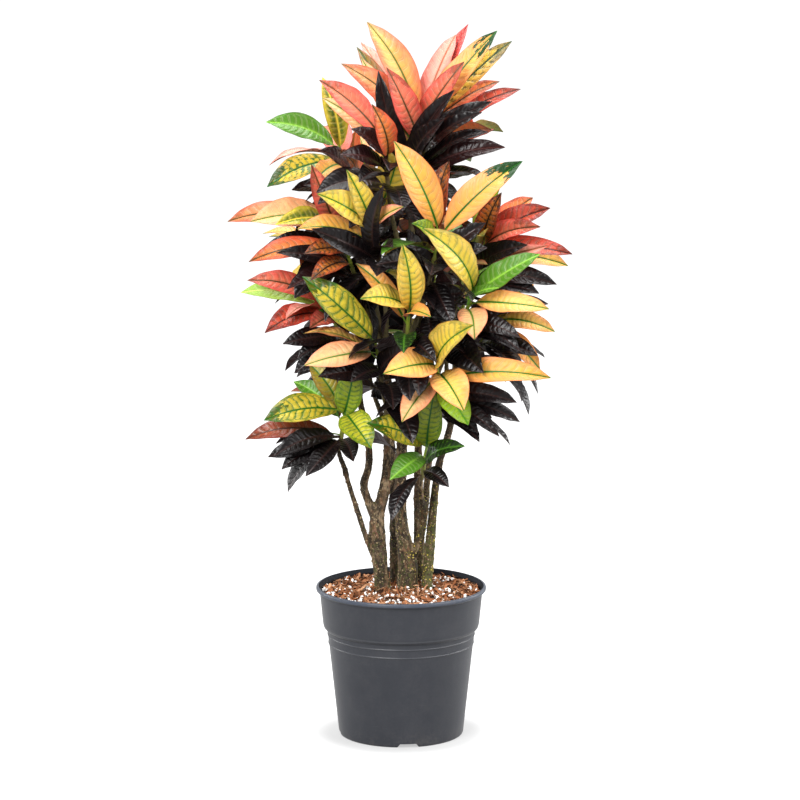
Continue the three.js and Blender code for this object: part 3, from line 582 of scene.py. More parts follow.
class Blade:
    """The spine of a leaf and the ways across it and up from it."""

    def __init__(self, leaf):
        bearing, rise, turn = (math.radians(leaf[key]) for key in ("bearing", "rise", "turn"))
        chord = np.array((math.cos(rise) * math.cos(bearing), math.cos(rise) * math.sin(bearing),
                          math.sin(rise)))
        side = unit(np.cross(chord, leaf["face"]))
        self.side = side * math.cos(turn) + np.cross(chord, side) * math.sin(turn)
        self.normal = np.cross(self.side, chord)
        self.base = leaf["base"]
        self.tip = self.base + chord * leaf["length"]
        self.bend = (self.base + self.tip) / 2 + self.normal * 2 * ARCH * leaf["length"]

    def middle(self, t):
        t = np.asarray(t, float)[..., None]
        return (1 - t) ** 2 * self.base + 2 * (1 - t) * t * self.bend + t**2 * self.tip

    def up(self, t):
        t = np.asarray(t, float)[..., None]
        tangent = (1 - t) * (self.bend - self.base) + t * (self.tip - self.bend)
        up = np.cross(self.side, tangent)
        return up / np.linalg.norm(up, axis=-1)[..., None]

    def stations(self, leaf):
        """The corners of the source's blade: its tip and both margins at its two wide stations."""
        fold, sway = (PLAIN_FOLD, PLAIN_WAVE) if leaf["plain"] else (FOLD, WAVE)
        corners = [self.tip]
        for share, wide in OUTLINE:
            half = wide * leaf["width"] / 2
            middle, up = self.middle(share), self.up(share)
            for turned in (-1, 1):
                lift = half * math.sin(fold) - turned * sway
                corners.append(middle + turned * self.side * half * math.cos(fold) + up * lift)
            sway = -sway
        return corners


def find_way(leaf, tree):
    """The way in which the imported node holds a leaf, or nothing where it was left out."""
    best, most = None, 1
    for way in ways_to_lay(leaf):
        corners = Blade(way).stations(way)
        met = sum(tree.find(Vector(corner) * MM)[2] < SAME_PLACE * MM for corner in corners)
        if met > most:
            best, most = way, met
        if most >= len(corners) - 1:
            break
    return best


def leaves_of_shoots():
    """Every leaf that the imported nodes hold, by node."""
    found = {}
    for number, shoot in enumerate(SHOOTS):
        tip, _, young_length, old_length, below = shoot_line(shoot)
        draw = drawer(RULE_SEED + RULE_SEED_STEP * number)
        for age, start, length, fill in zip(AGES, (0, young_length), (young_length, old_length),
                                            shoot["fill"]):
            node = f"{shoot['name']}_{age}"
            tree = tree_of(read_rows(frame["nodes"][node].data.vertices))
            rows = shoot.get(age, [])
            count = len(rows) + fill
            found[node] = []
            for i in range(count):
                reach = (length - 2 * STEM_MARGIN) * (i + 0.5) / count
                base = below(start + STEM_MARGIN + reach)
                leaf = (leaf_from_tip(base, tip, rows[i]) if i < len(rows)
                        else leaf_by_rule(base, shoot, i, age, draw))
                way = find_way(leaf, tree)
                if way:
                    found[node].append(way)
    return found


class Parts:
    """Points and faces of many closed shapes, with the values that their material reads."""

    def __init__(self):
        self.points, self.faces, self.values, self.count = [], [], {}, 0

    def add(self, points, faces, **values):
        self.points.append(points)
        self.faces.extend(tuple(i + self.count for i in face) for face in faces)
        self.count += len(points)
        for name, value in values.items():
            value = np.asarray(value, float)
            value = np.broadcast_to(value, (len(points), value.shape[-1]))
            self.values.setdefault(name, []).append(value)

    def mesh(self, name):
        mesh = mesh_of(name, np.concatenate(self.points), self.faces)
        for key, values in self.values.items():
            hold(mesh, f"leaf_{key}", np.concatenate(values))
        mesh.set_sharp_from_angle(angle=math.radians(LEAF_SHARP))
        return mesh


def half_width(u, width):
    """A blade's half width from its foot, u 0, to its drawn-out tip, u 1."""
    swell = np.sin(np.pi * np.clip(u, 0, 1) ** 0.97) ** 0.68
    drawn = 1 - 0.38 * ease(u, 0.86, 1)
    return np.maximum(width / 2 * swell * drawn, np.where(u < 0.5, 0.6, 0.12))


def blade_faces(rows, columns):
    """Faces of a closed blade: an upper and an under grid, joined round their margin."""
    under = (rows + 1) * (columns + 1)
    at = lambda r, c: r * (columns + 1) + c
    strip = lambda a, b: (a, b, under + b, under + a)
    faces = []
    for r in range(rows):
        for c in range(columns):
            corners = (at(r, c), at(r, c + 1), at(r + 1, c + 1), at(r + 1, c))
            faces += [corners, tuple(under + i for i in reversed(corners))]
        faces.append(strip(at(r, 0), at(r + 1, 0)))
        faces.append(strip(at(r, columns), at(r + 1, columns))[::-1])
    faces += [strip(at(0, c), at(0, c + 1))[::-1] for c in range(columns)]
    faces += [strip(at(rows, c), at(rows, c + 1)) for c in range(columns)]
    return faces


def add_leaf(parts, leaf, seed, settings, faces):
    """One leaf: a folded, waved blade, its midrib below it and its petiole."""
    draw = drawer(seed)
    blade = Blade(leaf)
    kind, width, plain = leaf["kind"], leaf["width"], leaf["plain"]
    base, edge, vein, blotch, dark_tip, stripe = KINDS[kind]
    light = draw(0.76, 0.94)
    if kind == "dark":
        base, edge, vein = DARK_TINTS[int(drawer(seed + 7)(0, len(DARK_TINTS)))]
    sickle, droop = draw(-0.035, 0.035) * leaf["length"], draw(0.0, 0.05) * leaf["length"]
    fold = draw(0.14, 0.3) if plain else FOLD * draw(0.8, 1.25)
    sway = settings.wave * draw(0.8, 1.2) * (0.7 if plain else 1)
    bulge = draw(0.15, 0.5)
    ripple = [(draw(3.2, 5.6), draw(0, 6.28), draw(0.3, 1.0)) for side in range(2)]

    def middle(t):
        u = np.clip((t - PETIOLE_SHARE) / (1 - PETIOLE_SHARE), 0, 1)
        sag = ease(u, 0.62, 1.15) * droop
        bow = np.sin(np.pi * u) * sickle
        return blade.middle(t) + bow[..., None] * blade.side - sag[..., None] * blade.normal

    x = np.linspace(0, 1, settings.rows + 1)
    u = 0.6 * x + 0.4 * (0.5 - 0.5 * np.cos(np.pi * x))
    t = PETIOLE_SHARE + (1 - PETIOLE_SHARE) * u
    u, v = np.meshgrid(u, np.linspace(-1, 1, settings.columns + 1), indexing="ij")
    half = half_width(u, width)
    share = half / (width / 2)
    far = np.abs(v)
    bent = fold * (1 + 0.6 * (1 - share))
    lift = half * np.sin(bent) * far * (1 + bulge * (1 - far**2))
    wave = -np.sign(v) * sway * np.cos(np.pi * (t[:, None] - 0.4) / 0.3) * far**1.6 * share
    for turned, (beat, start, size) in zip((-1, 1), ripple):
        small = size * np.sin(2 * np.pi * beat * u + start) * far**2.5 * share
        wave = wave + np.where(np.sign(v) == turned, small, 0)
    ups = blade.up(t)[:, None, :]
    flat = middle(t)[:, None, :] + (v * half * np.cos(bent))[..., None] * blade.side
    flat = flat + (lift + wave)[..., None] * ups
    thick = settings.thickness * (0.55 + 0.45 * (1 - far)) * np.clip(share * 3, 0.35, 1) / 2
    skins = [(flat + way * thick[..., None] * ups).reshape(-1, 3) for way in (1, -1)]
    count = len(skins[0])
    place = np.tile(np.stack([u, v, half], axis=-1).reshape(-1, 3), (2, 1))
    kept_seed = draw(0, 1)
    glossy = kind in GLOSSY_KINDS
    vein_colour = linear(vein)
    side = np.zeros((count * 2, 3))
    side[count:, 0] = 1
    side[:, 2] = glossy
    below = (UNDER_DARK if glossy or kind == "redOrange" else
             UNDER_GREEN if kind in GREEN_KINDS else UNDER_BRIGHT)
    colours = [np.repeat([np.minimum(np.array(linear(upper)) * (light, light, light, 1), 1),
                          np.array(linear(lower)) * light], count, axis=0)
               for upper, lower in zip((base, edge), below)]
    parts.add(np.concatenate(skins), faces, place=place, base=colours[0], edge=colours[1],
              vein=vein_colour, traits=(blotch, dark_tip, stripe, kept_seed), side=side)

    reach = np.concatenate([[0, 0.3, 0.7, 1], np.linspace(1, 8, 10)[1:]])
    s = np.where(reach <= 1, reach * PETIOLE_SHARE,
                 PETIOLE_SHARE + (reach - 1) / 7 * 0.9 * (1 - PETIOLE_SHARE))
    radii = np.interp(s, [0, 0.03, PETIOLE_SHARE, 0.4, 0.93], [1.8, 1.25, 1.2, 0.85, 0.2])
    sunk = np.where(s > PETIOLE_SHARE, 0.42, 0) * radii
    points, rib_faces = tube(middle(s) - sunk[:, None] * blade.up(s), radii, RIB_SIDES)
    on_rib = np.concatenate([np.repeat(s, RIB_SIDES), s[[0, -1]]])
    petiole = linear(OLD_PETIOLE_COLOUR if glossy else PETIOLE_COLOUR)
    green = 1 - ease(on_rib, 0.1, 0.22)[:, None]
    colour = green * np.array(petiole) + (1 - green) * np.array(vein_colour)
    along = np.clip((on_rib - PETIOLE_SHARE) / (1 - PETIOLE_SHARE), 0, 1)
    rib_place = np.stack([along, 0 * along, 0 * along + 1], axis=1)
    parts.add(points, rib_faces, place=rib_place, base=colour, edge=colour, vein=colour,
              traits=(0, 0, 0, kept_seed), side=(0, 1, glossy))


def add_shoot_stem(parts, shoot, age, seed):
    """A stretch of a shoot's own stem, ringed at its nodes, with a bud above the young one."""
    _, _, young, old, below = shoot_line(shoot)
    draw = drawer(seed)
    is_young = age == "young"
    low, high = (young, BUD) if is_young else (young + old + GAP, young + GAP)
    distances = np.linspace(low, high, STEM_RINGS)
    radii = np.linspace(SHOOT_RADIUS, SHOOT_TOP_RADIUS if is_young else SHOOT_RADIUS, STEM_RINGS)
    radii = radii * (1 + 0.07 * np.sin(distances * 1.15 + draw(0, 6)) + 0.02)
    if is_young:
        distances = np.concatenate([distances, [10, 6, 3, 0.5]])
        radii = np.concatenate([radii, [2.3, 1.9, 1.1, 0.3]])
    radii[0] *= 0.9
    places = np.array([below(distance) for distance in distances])
    points, faces = tube(places, radii, STEM_SIDES)
    height = np.concatenate([np.repeat(distances, STEM_SIDES), distances[[0, -1]]])
    wood = ease(height, 8, 70)[:, None]
    colour = (1 - wood) * np.array(linear(GREEN_STEM)) + wood * np.array(linear(WOODY_STEM))
    parts.add(points, faces, place=(0.5, 0, 1), base=colour, edge=colour, vein=colour,
              traits=(0, 0, 0, draw(0, 1)), side=(0, 1, 0))


class Nodes:
    """Adds nodes to a tree: a value that is a socket is linked, and any other is set."""

    def __init__(self, tree):
        self.tree = tree
        tree.nodes.clear()

    def add(self, kind, values=None, **settings):
        node = self.tree.nodes.new(kind)
        for name, setting in settings.items():
            setattr(node, name, setting)
        for key, value in (values or {}).items():
            if isinstance(value, bpy.types.NodeSocket):
                self.tree.links.new(value, node.inputs[key])
            else:
                node.inputs[key].default_value = value
        return node

    def math(self, operation, *values):
        return self.add("ShaderNodeMath", dict(enumerate(values)), operation=operation).outputs[0]

    def times(self, a, b):
        return self.math("MULTIPLY", a, b)

    def fitted(self, value, gain, offset):
        """A value times a gain, and an offset added."""
        return self.math("MULTIPLY_ADD", value, gain, offset)

    def plus(self, a, b):
        return self.math("ADD", a, b)

    def minus(self, a, b):
        return self.math("SUBTRACT", a, b)

    def most(self, a, b):
        return self.math("MAXIMUM", a, b)

    def mix(self, share, a, b, blend="MIX"):
        values = {0: share, 6: a, 7: b}
        return self.add("ShaderNodeMix", values, data_type="RGBA", blend_type=blend).outputs[2]

    def band(self, value, low, high, start=0.0, end=1.0):
        """start below low, end above high and smooth between."""
        values = {"Value": value, "From Min": low, "From Max": high, "To Min": start,
                  "To Max": end}
        node = self.add("ShaderNodeMapRange", values, interpolation_type="SMOOTHSTEP")
        return node.outputs["Result"]

    def noise(self, where, scale, detail=2.0, rough=0.5, twist=0.0):
        values = {"Vector": where, "Scale": scale, "Detail": detail, "Roughness": rough,
                  "Distortion": twist}
        return self.add("ShaderNodeTexNoise", values).outputs["Fac"]

    def vector(self, x, y, z):
        return self.add("ShaderNodeCombineXYZ", {0: x, 1: y, 2: z}).outputs[0]

    def axes(self, vector):
        return self.add("ShaderNodeSeparateXYZ", {0: vector}).outputs

    def shaded(self, colour, tone):
        """A colour times a tone."""
        return self.mix(1.0, colour, self.vector(tone, tone, tone), "MULTIPLY")

    def random(self, least, most, seed):
        values = {2: least, 3: most, "Seed": seed}
        return self.add("FunctionNodeRandomValue", values, data_type="FLOAT").outputs[1]

    def stretch(self, where, x, y, z):
        """Object coordinates scaled along each axis."""
        values = {"Vector": where, "Scale": (x, y, z)}
        return self.add("ShaderNodeMapping", values).outputs[0]

    def attribute(self, name):
        return self.add("ShaderNodeAttribute", attribute_name=name)

    def where(self):
        return self.add("ShaderNodeTexCoord").outputs["Object"]


def new_group(name, inputs, outputs, tree="ShaderNodeTree"):
    """A node group with named sockets, each given as a name and its kind."""
    group = bpy.data.node_groups.new(name, tree)
    for way, sockets in (("INPUT", inputs), ("OUTPUT", outputs)):
        for label, kind in sockets:
            group.interface.new_socket(label, in_out=way, socket_type=f"NodeSocket{kind}")
    nodes = Nodes(group)
    start = nodes.add("NodeGroupInput").outputs
    end = nodes.add("NodeGroupOutput").inputs

    def put(label, socket):
        group.links.new(socket, end[label])

    return group, nodes, start, put


def new_material(name, roughness=0.5, **fixed):
    """A material with its Principled shader; fixed values are set on the shader's own sockets."""
    material = bpy.data.materials.new(name)
    material.use_nodes = True
    nodes = Nodes(material.node_tree)
    shader = nodes.add("ShaderNodeBsdfPrincipled")
    shader.inputs["Roughness"].default_value = roughness
    for label, value in fixed.items():
        shader.inputs[label.replace("_", " ")].default_value = value
    nodes.add("ShaderNodeOutputMaterial", {"Surface": shader.outputs["BSDF"]})

    def feed(label, socket):
        material.node_tree.links.new(socket, shader.inputs[label])

    def bump(height, distance, strength):
        values = {"Height": height, "Distance": distance * MM, "Strength": strength}
        feed("Normal", nodes.add("ShaderNodeBump", values).outputs["Normal"])

    return material, nodes, feed, bump


def leaf_pattern():
    """Veins, stripes, blush, blotches and swells of a leaf, laid out along and across it."""
    group, n, start, put = new_group(
        "Leaf Pattern",
        (("Along", "Float"), ("Across", "Float"), ("Half Width", "Float"), ("Base", "Color"),
         ("Edge", "Color"), ("Vein", "Color"), ("Blotch", "Float"), ("Dark Tip", "Float"),
         ("Stripe", "Float"), ("Seed", "Float"), ("Underside", "Float"), ("Rib", "Float"),
         ("Vein Pairs", "Float"), ("Paleness", "Float")),
        (("Color", "Color"), ("Relief", "Float"), ("Grain", "Float")))
    u, v, half = start["Along"], start["Across"], start["Half Width"]
    far = n.math("ABSOLUTE", v)
    lateral = n.times(far, half)
    seed = n.times(start["Seed"], 40.0)
    broad = n.vector(n.times(u, 5.0), n.times(v, 1.6), seed)
    wander = n.minus(n.noise(broad, 1.0, 0.7), 0.5)
    span = n.times(v, half)
    fine = n.vector(n.times(u, 26.0), n.times(span, 0.2), seed)
    speckle = n.noise(fine, 1.0, 3.0, 0.6)

    # Side veins run out from the midrib, in turn on its two sides, and end in round arches that
    # join each to the next.
    bend = n.fitted(n.math("POWER", far, 2.5), 0.05, n.times(far, 0.055))
    ahead = n.times(bend, n.math("DIVIDE", half, 20.0))
    turn = n.times(n.math("GREATER_THAN", v, 0.0), 0.45)
    beat = n.times(n.minus(u, ahead), start["Vein Pairs"])
    beat = n.plus(n.plus(beat, turn), n.times(wander, 0.95))
    from_vein = n.math("ABSOLUTE", n.minus(n.math("FRACT", beat), 0.5))
    near_vein = n.fitted(from_vein, -2.0, 1.0)
    arch = n.math("SQRT", n.minus(1.0, n.math("POWER", near_vein, 2.0)))
    arch = n.fitted(arch, 0.2, n.fitted(wander, 0.2, 0.64))
    past = n.minus(far, arch)
    side_vein = n.band(from_vein, 0.03, 0.075, 1.0, 0.0)
    side_vein = n.times(side_vein, n.band(past, -0.02, 0.02, 1.0, 0.25))
    loop = n.band(n.math("ABSOLUTE", past), 0.01, 0.036, 1.0, 0.0)
    line = n.plus(start["Stripe"], 0.03)
    line = n.times(line, n.fitted(speckle, 0.8, 0.62))
    lines = n.times(n.most(side_vein, loop), n.math("MINIMUM", line, 1.0))
    halo = n.band(from_vein, 0.05, 0.34, 1.0, 0.0)
    halo = n.most(halo, n.band(past, -0.06, 0.1, 0.0, 0.8))
    halo = n.times(halo, n.band(n.noise(broad, 2.2, 4.0, 0.65), 0.38, 0.58))
    halo = n.times(halo, n.times(start["Stripe"], 0.8))
    slim = n.fitted(n.minus(1.0, u), 0.75, 0.45)
    rib_line = n.band(lateral, n.times(slim, 1.25), n.fitted(slim, 1.8, 0.3),
                      1.0, 0.0)
    mesh_at = n.vector(n.times(u, 30.0), n.times(span, 0.24), seed)
    cells = n.add("ShaderNodeTexVoronoi", {"Vector": mesh_at, "Scale": 1.0},
                  feature="DISTANCE_TO_EDGE").outputs["Distance"]
    net = n.times(n.band(cells, 0.0, 0.08, 0.14, 0.0), n.plus(start["Stripe"], 0.25))
    net = n.times(net, n.minus(1.0, start["Rib"]))
    veins = n.most(n.most(lines, halo), n.most(rib_line, net))
    veins = n.times(veins, n.fitted(start["Underside"], -0.75, 1.0))

    # The margin's colour spreads inwards unevenly, and patches keep the colour of the veins.
    blush = n.plus(far, n.times(n.noise(broad, 1.7, 3.0, 0.6), 1.1))
    ground = n.mix(n.band(blush, 0.65, 1.5), start["Base"], start["Edge"])
    shade = n.fitted(n.noise(broad, 0.8, 2.0), 0.4, 0.8)
    shade = n.times(shade, n.fitted(speckle, 0.24, 0.88))
    shade = n.times(shade, n.band(from_vein, 0.0, 0.4, 0.94, 1.04))
    ground = n.shaded(ground, shade)
    wash = n.band(n.noise(broad, 1.1, 3.0, 0.6, 0.3), 0.46, 0.66, 0.0, 0.5)
    wash = n.times(wash, n.times(start["Stripe"], start["Stripe"]))
    ground = n.mix(wash, ground, start["Vein"])
    pale_line = n.band(n.math("ABSOLUTE", n.minus(from_vein, 0.1)), 0.02, 0.05, 0.3, 0.0)
    pale_line = n.times(pale_line, n.band(far, 0.75, 0.95, 1.0, 0.0))
    pale = n.mix(0.5, start["Base"], (0.85, 0.75, 0.5, 1.0))
    pale_line = n.times(pale_line, start["Paleness"])
    ground = n.mix(pale_line, ground, pale)
    patch = n.fitted(near_vein, 0.1, n.noise(broad, 3.1, 4.0, 0.66, 0.4))
    limit = n.fitted(start["Blotch"], -0.3, 0.8)
    patch = n.band(patch, limit, n.plus(limit, 0.05), 0.0, 0.85)
    tip = n.fitted(far, 0.12, n.fitted(wander, 0.5, u))
    ragged = n.noise(broad, 2.6, 4.0, 0.62, 0.4)
    tip = n.band(n.fitted(ragged, 0.62, tip), 1.15, 1.19)
    tip = n.times(tip, start["Dark Tip"])
    burnt = n.mix(1.0, start["Vein"], (0.36, 0.36, 0.36, 1.0), "MULTIPLY")
    hem = n.band(n.fitted(speckle, 0.03, far), 0.955, 0.995, 0.0, 0.55)
    hem_colour = n.mix(1.0, start["Edge"], (0.72, 0.3, 0.26, 1.0), "MULTIPLY")
    rib_glow = n.band(lateral, 0.8, n.fitted(slim, 4.5, 1.0), 0.3, 0.0)
    ground = n.mix(rib_glow, ground, start["Vein"])
    colour = n.mix(patch, ground, start["Vein"])
    colour = n.mix(hem, colour, hem_colour)
    colour = n.mix(tip, colour, burnt)
    colour = n.mix(veins, colour, start["Vein"])
    put("Color", n.mix(start["Rib"], colour, start["Base"]))

    # The blade swells between its veins.
    pillow = n.times(n.band(from_vein, 0.0, 0.36), n.band(past, -0.1, 0.04, 1.0, 0.1))
    channel = n.band(lateral, 0.3, 2.6)
    relief = n.times(n.fitted(pillow, 0.75, 0.1), channel)
    relief = n.fitted(n.band(cells, 0.0, 0.2), 0.04, relief)
    flip = n.fitted(start["Underside"], -2.0, 1.0)
    put("Relief", n.times(relief, flip))
    put("Grain", speckle)
    return group


def leaf_material(name, roughness, gloss, pattern, pairs):
    """Leaf skin: the pattern's colours, with the gloss of this kind of leaf."""
    material, n, feed, bump = new_material(name, roughness, Specular_IOR_Level=gloss)
    place, traits, side = (n.attribute(f"leaf_{key}") for key in ("place", "traits", "side"))
    along, trait, flags = (n.axes(held.outputs["Vector"]) for held in (place, traits, side))
    values = {"Along": along[0], "Across": along[1], "Half Width": along[2],
              "Blotch": trait[0], "Dark Tip": trait[1], "Stripe": trait[2],
              "Seed": traits.outputs["Alpha"], "Underside": flags[0], "Rib": flags[1],
              "Vein Pairs": pairs, "Paleness": n.minus(1.0, flags[2])}
    for label in ("base", "edge", "vein"):
        values[label.capitalize()] = n.attribute(f"leaf_{label}").outputs["Color"]
    made = n.add("ShaderNodeGroup", values, node_tree=pattern).outputs
    feed("Base Color", made["Color"])
    rough = n.fitted(made["Grain"], 0.08, roughness - 0.04)
    feed("Roughness", n.fitted(flags[0], 0.16, rough))
    bump(made["Relief"], 0.9, 0.8)
    return material


def trunk_limbs(name):
    """The lines of a trunk's limbs and twigs, each with its radii along it."""
    limbs = [(Curve(points), start, end) for points, start, end in TRUNKS[name]]
    for shoot in SHOOTS:
        trunk, number, height = shoot["on"]
        if trunk != name:
            continue
        _, direction, young, old, below = shoot_line(shoot)
        start = limbs[number][0].at_height(height)
        end = below(young + old + 3 * GAP)
        reach = np.linalg.norm(end - start)
        rising, ending = start + np.array((0, 0, 0.3 * reach)), end - 0.3 * reach * direction
        t = np.array((0, 0.34, 0.67, 0.94, 1))[:, None]
        bezier = ((1 - t) ** 3 * start + 3 * (1 - t) ** 2 * t * rising
                  + 3 * (1 - t) * t**2 * ending + t**3 * end)
        limbs.append((Curve(bezier), TWIG_RADIUS, SHOOT_RADIUS))
    return limbs


def bark_relief(s, angle, radius, place):
    """How far bark stands proud, in millimetres: scars of old leaves, fine rings and ridges."""
    step = 7.5 + 0.9 * radius
    relief = np.zeros_like(s)
    nearest = np.round(s / step)
    for offset in (-2, -1, 0, 1, 2):
        number = nearest + offset
        at = np.radians(number * GOLDEN_ANGLE)
        across = (np.mod(angle - at + np.pi, 2 * np.pi) - np.pi) * radius
        along = s - number * step - 0.05 * across**2
        wide, tall = 2.6 + 0.12 * radius, 1.5
        hump = np.exp(-(across / wide) ** 2 - (along / tall) ** 2)
        cut = np.exp(-(across / (0.8 * wide)) ** 2 - ((along - 1.9) / 0.7) ** 2)
        relief += 0.75 * hump - 0.45 * cut
    grain = np.array([noise.fractal(Vector((x * 0.5, y * 0.5, z * 0.11)), 1.0, 2.0, 3)
                      for x, y, z in place])
    lumps = np.array([noise.noise(Vector((x * 0.09, y * 0.09, z * 0.05))) for x, y, z in place])
    knots = np.array([noise.noise(Vector((x * 0.21, y * 0.21, z * 0.13))) for x, y, z in place])
    return 2.0 * relief + 0.5 * grain + (1.1 * lumps + 1.0 * knots) * np.clip(radius / 9, 0.3, 1)


def make_trunk(name, settings):
    """A trunk's limbs and twigs grown into one skin, with bark and leaf scars shaped in it."""
    skins, lines = Parts(), []
    for number, (curve, start, end) in enumerate(trunk_limbs(name)):
        share = np.linspace(0, 1, max(LEAST_STEPS, int(curve.length / LIMB_STEP)) + 1)
        places = curve.at(share)
        radii = start + (end - start) * share
        if number == 0:
            height = places[:, 2] - SOIL_TOP
            gain, at, spread = GIRTHS.get(name, PLAIN_GIRTH)
            swollen = gain * np.exp(-((height - at) / spread) ** 2)
            radii = radii * (1 + FLARE * np.exp(-np.abs(height) / FLARE_HEIGHT) + swollen)
        radii[-1] *= 0.6
        skins.add(*tube(places, radii, BARK_SIDES))
        lines.append((places, radii))
    mesh = mesh_of(f"{name}_bark", np.concatenate(skins.points), skins.faces)
    piece = add_piece(f"{name}_bark", mesh)
    remesh = piece.modifiers.new("Skin", "REMESH")
    remesh.mode, remesh.voxel_size = "VOXEL", settings.skin
    soften = piece.modifiers.new("Soften", "SMOOTH")
    soften.factor, soften.iterations = 0.5, 6
    settle(piece)

    ways, middles, thick, walked = [], [], [], []
    for line, (places, radii) in enumerate(lines):
        along = np.gradient(places, axis=0)
        step = np.linalg.norm(along, axis=1)
        ways.append(along / step[:, None])
        middles.append(places)
        thick.append(radii)
        walked.append(np.cumsum(step) + SCAR_SHIFT * line)
    ways, middles, thick, walked = map(np.concatenate, (ways, middles, thick, walked))
    tree = tree_of(middles)
    place = read_rows(piece.data.vertices) / MM
    near = np.array([tree.find(Vector(point))[1] for point in place])
    out = place - middles[near]
    ahead = np.einsum("ij,ij->i", out, ways[near])
    out -= ahead[:, None] * ways[near]
    across = np.cross(ways[near], OFF_AXIS)
    across /= np.linalg.norm(across, axis=1)[:, None]
    other = np.cross(ways[near], across)
    angle = np.arctan2(np.einsum("ij,ij->i", out, other), np.einsum("ij,ij->i", out, across))
    relief = bark_relief(walked[near] + ahead, angle, thick[near], place)
    normals = read_rows(piece.data.vertex_normals, "vector")
    move_points(piece.data, place + normals * (relief * settings.relief)[:, None])
    hold(piece.data, "bark_relief", relief)
    height = ease(place[:, 2], SOIL_TOP, 700)
    hold(piece.data, "bark_age", 1 - height * np.clip(1.4 - thick[near] / 9, 0.25, 1))
    piece.data.shade_smooth()
    return piece


def scatter_tree(name):
    """A tree that strews copies of some small shapes over a surface, where its mask lets them."""
    tree, n, start, put = new_group(
        name,
        (("Geometry", "Geometry"), ("Density", "Float"), ("Seed", "Int"), ("Least Scale", "Float"),
         ("Most Scale", "Float"), ("Tilt", "Float"), ("Lift", "Float"), ("Flatten", "Float"),
         ("Shapes", "Collection"), ("Material", "Material")),
        (("Geometry", "Geometry"),), "GeometryNodeTree")
    mask = n.add("GeometryNodeInputNamedAttribute", {"Name": STREWN}, data_type="FLOAT")
    density = n.times(start["Density"], mask.outputs["Attribute"])
    spread = n.add("GeometryNodeDistributePointsOnFaces",
                   {"Mesh": start["Geometry"], "Density": density, "Seed": start["Seed"]})
    shapes = n.add("GeometryNodeCollectionInfo", {"Collection": start["Shapes"],
                   "Separate Children": True, "Reset Children": True})
    tilt = n.times(start["Tilt"], -1.0)
    least = n.vector(tilt, tilt, -math.pi)
    most = n.vector(start["Tilt"], start["Tilt"], math.pi)
    angles = n.add("FunctionNodeRandomValue", {0: least, 1: most, "Seed": start["Seed"]},
                   data_type="FLOAT_VECTOR")
    turned = n.add("FunctionNodeEulerToRotation", {0: angles.outputs[0]})
    facing = n.add("FunctionNodeRotateRotation", {0: spread.outputs["Rotation"],
                   1: turned.outputs[0]}, rotation_space="LOCAL")
    size = n.random(start["Least Scale"], start["Most Scale"], start["Seed"])
    scale = n.vector(size, size, n.times(size, start["Flatten"]))
    normal = spread.outputs["Normal"]
    lifted = n.add("ShaderNodeVectorMath", {0: normal, "Scale": start["Lift"]}, operation="SCALE")
    raised = n.add("GeometryNodeSetPosition", {"Geometry": spread.outputs["Points"],
                   "Offset": lifted.outputs[0]})
    copies = n.add("GeometryNodeInstanceOnPoints", {
        "Points": raised.outputs[0], "Instance": shapes.outputs[0], "Pick Instance": True,
        "Rotation": facing.outputs[0], "Scale": scale})
    tint = n.random(0.0, 1.0, start["Seed"])
    tinted = n.add("GeometryNodeStoreNamedAttribute", {
        "Geometry": copies.outputs[0], "Name": "tint", "Value": tint},
        data_type="FLOAT", domain="INSTANCE")
    real = n.add("GeometryNodeRealizeInstances", {"Geometry": tinted.outputs[0]})
    painted = n.add("GeometryNodeSetMaterial", {"Geometry": real.outputs[0],
                    "Material": start["Material"]})
    put("Geometry", painted.outputs[0])
    return tree


def strew(name, ground, tree, meshes, material, **inputs):
    """Strews small shapes over a ground mesh as one plain piece, and removes the shapes."""
    shapes = bpy.data.collections.new(f"{name}_shapes")
    for number, mesh in enumerate(meshes):
        shapes.objects.link(bpy.data.objects.new(f"{name}_shape_{number}", mesh))
    piece = add_piece(name, ground.copy())
    scatter = piece.modifiers.new("Scatter", "NODES")
    scatter.node_group = tree
    inputs = {label.replace("_", " "): value for label, value in inputs.items()}
    inputs.update(Shapes=shapes, Material=material)
    for item in tree.interface.items_tree:
        if item.in_out == "INPUT" and item.name in inputs:
            scatter[item.identifier] = inputs[item.name]
    settle(piece)
    piece.data.shade_smooth()
    for shape in list(shapes.objects):
        bpy.data.objects.remove(shape)
    for mesh in meshes:
        bpy.data.meshes.remove(mesh)
    bpy.data.collections.remove(shapes)
    return piece


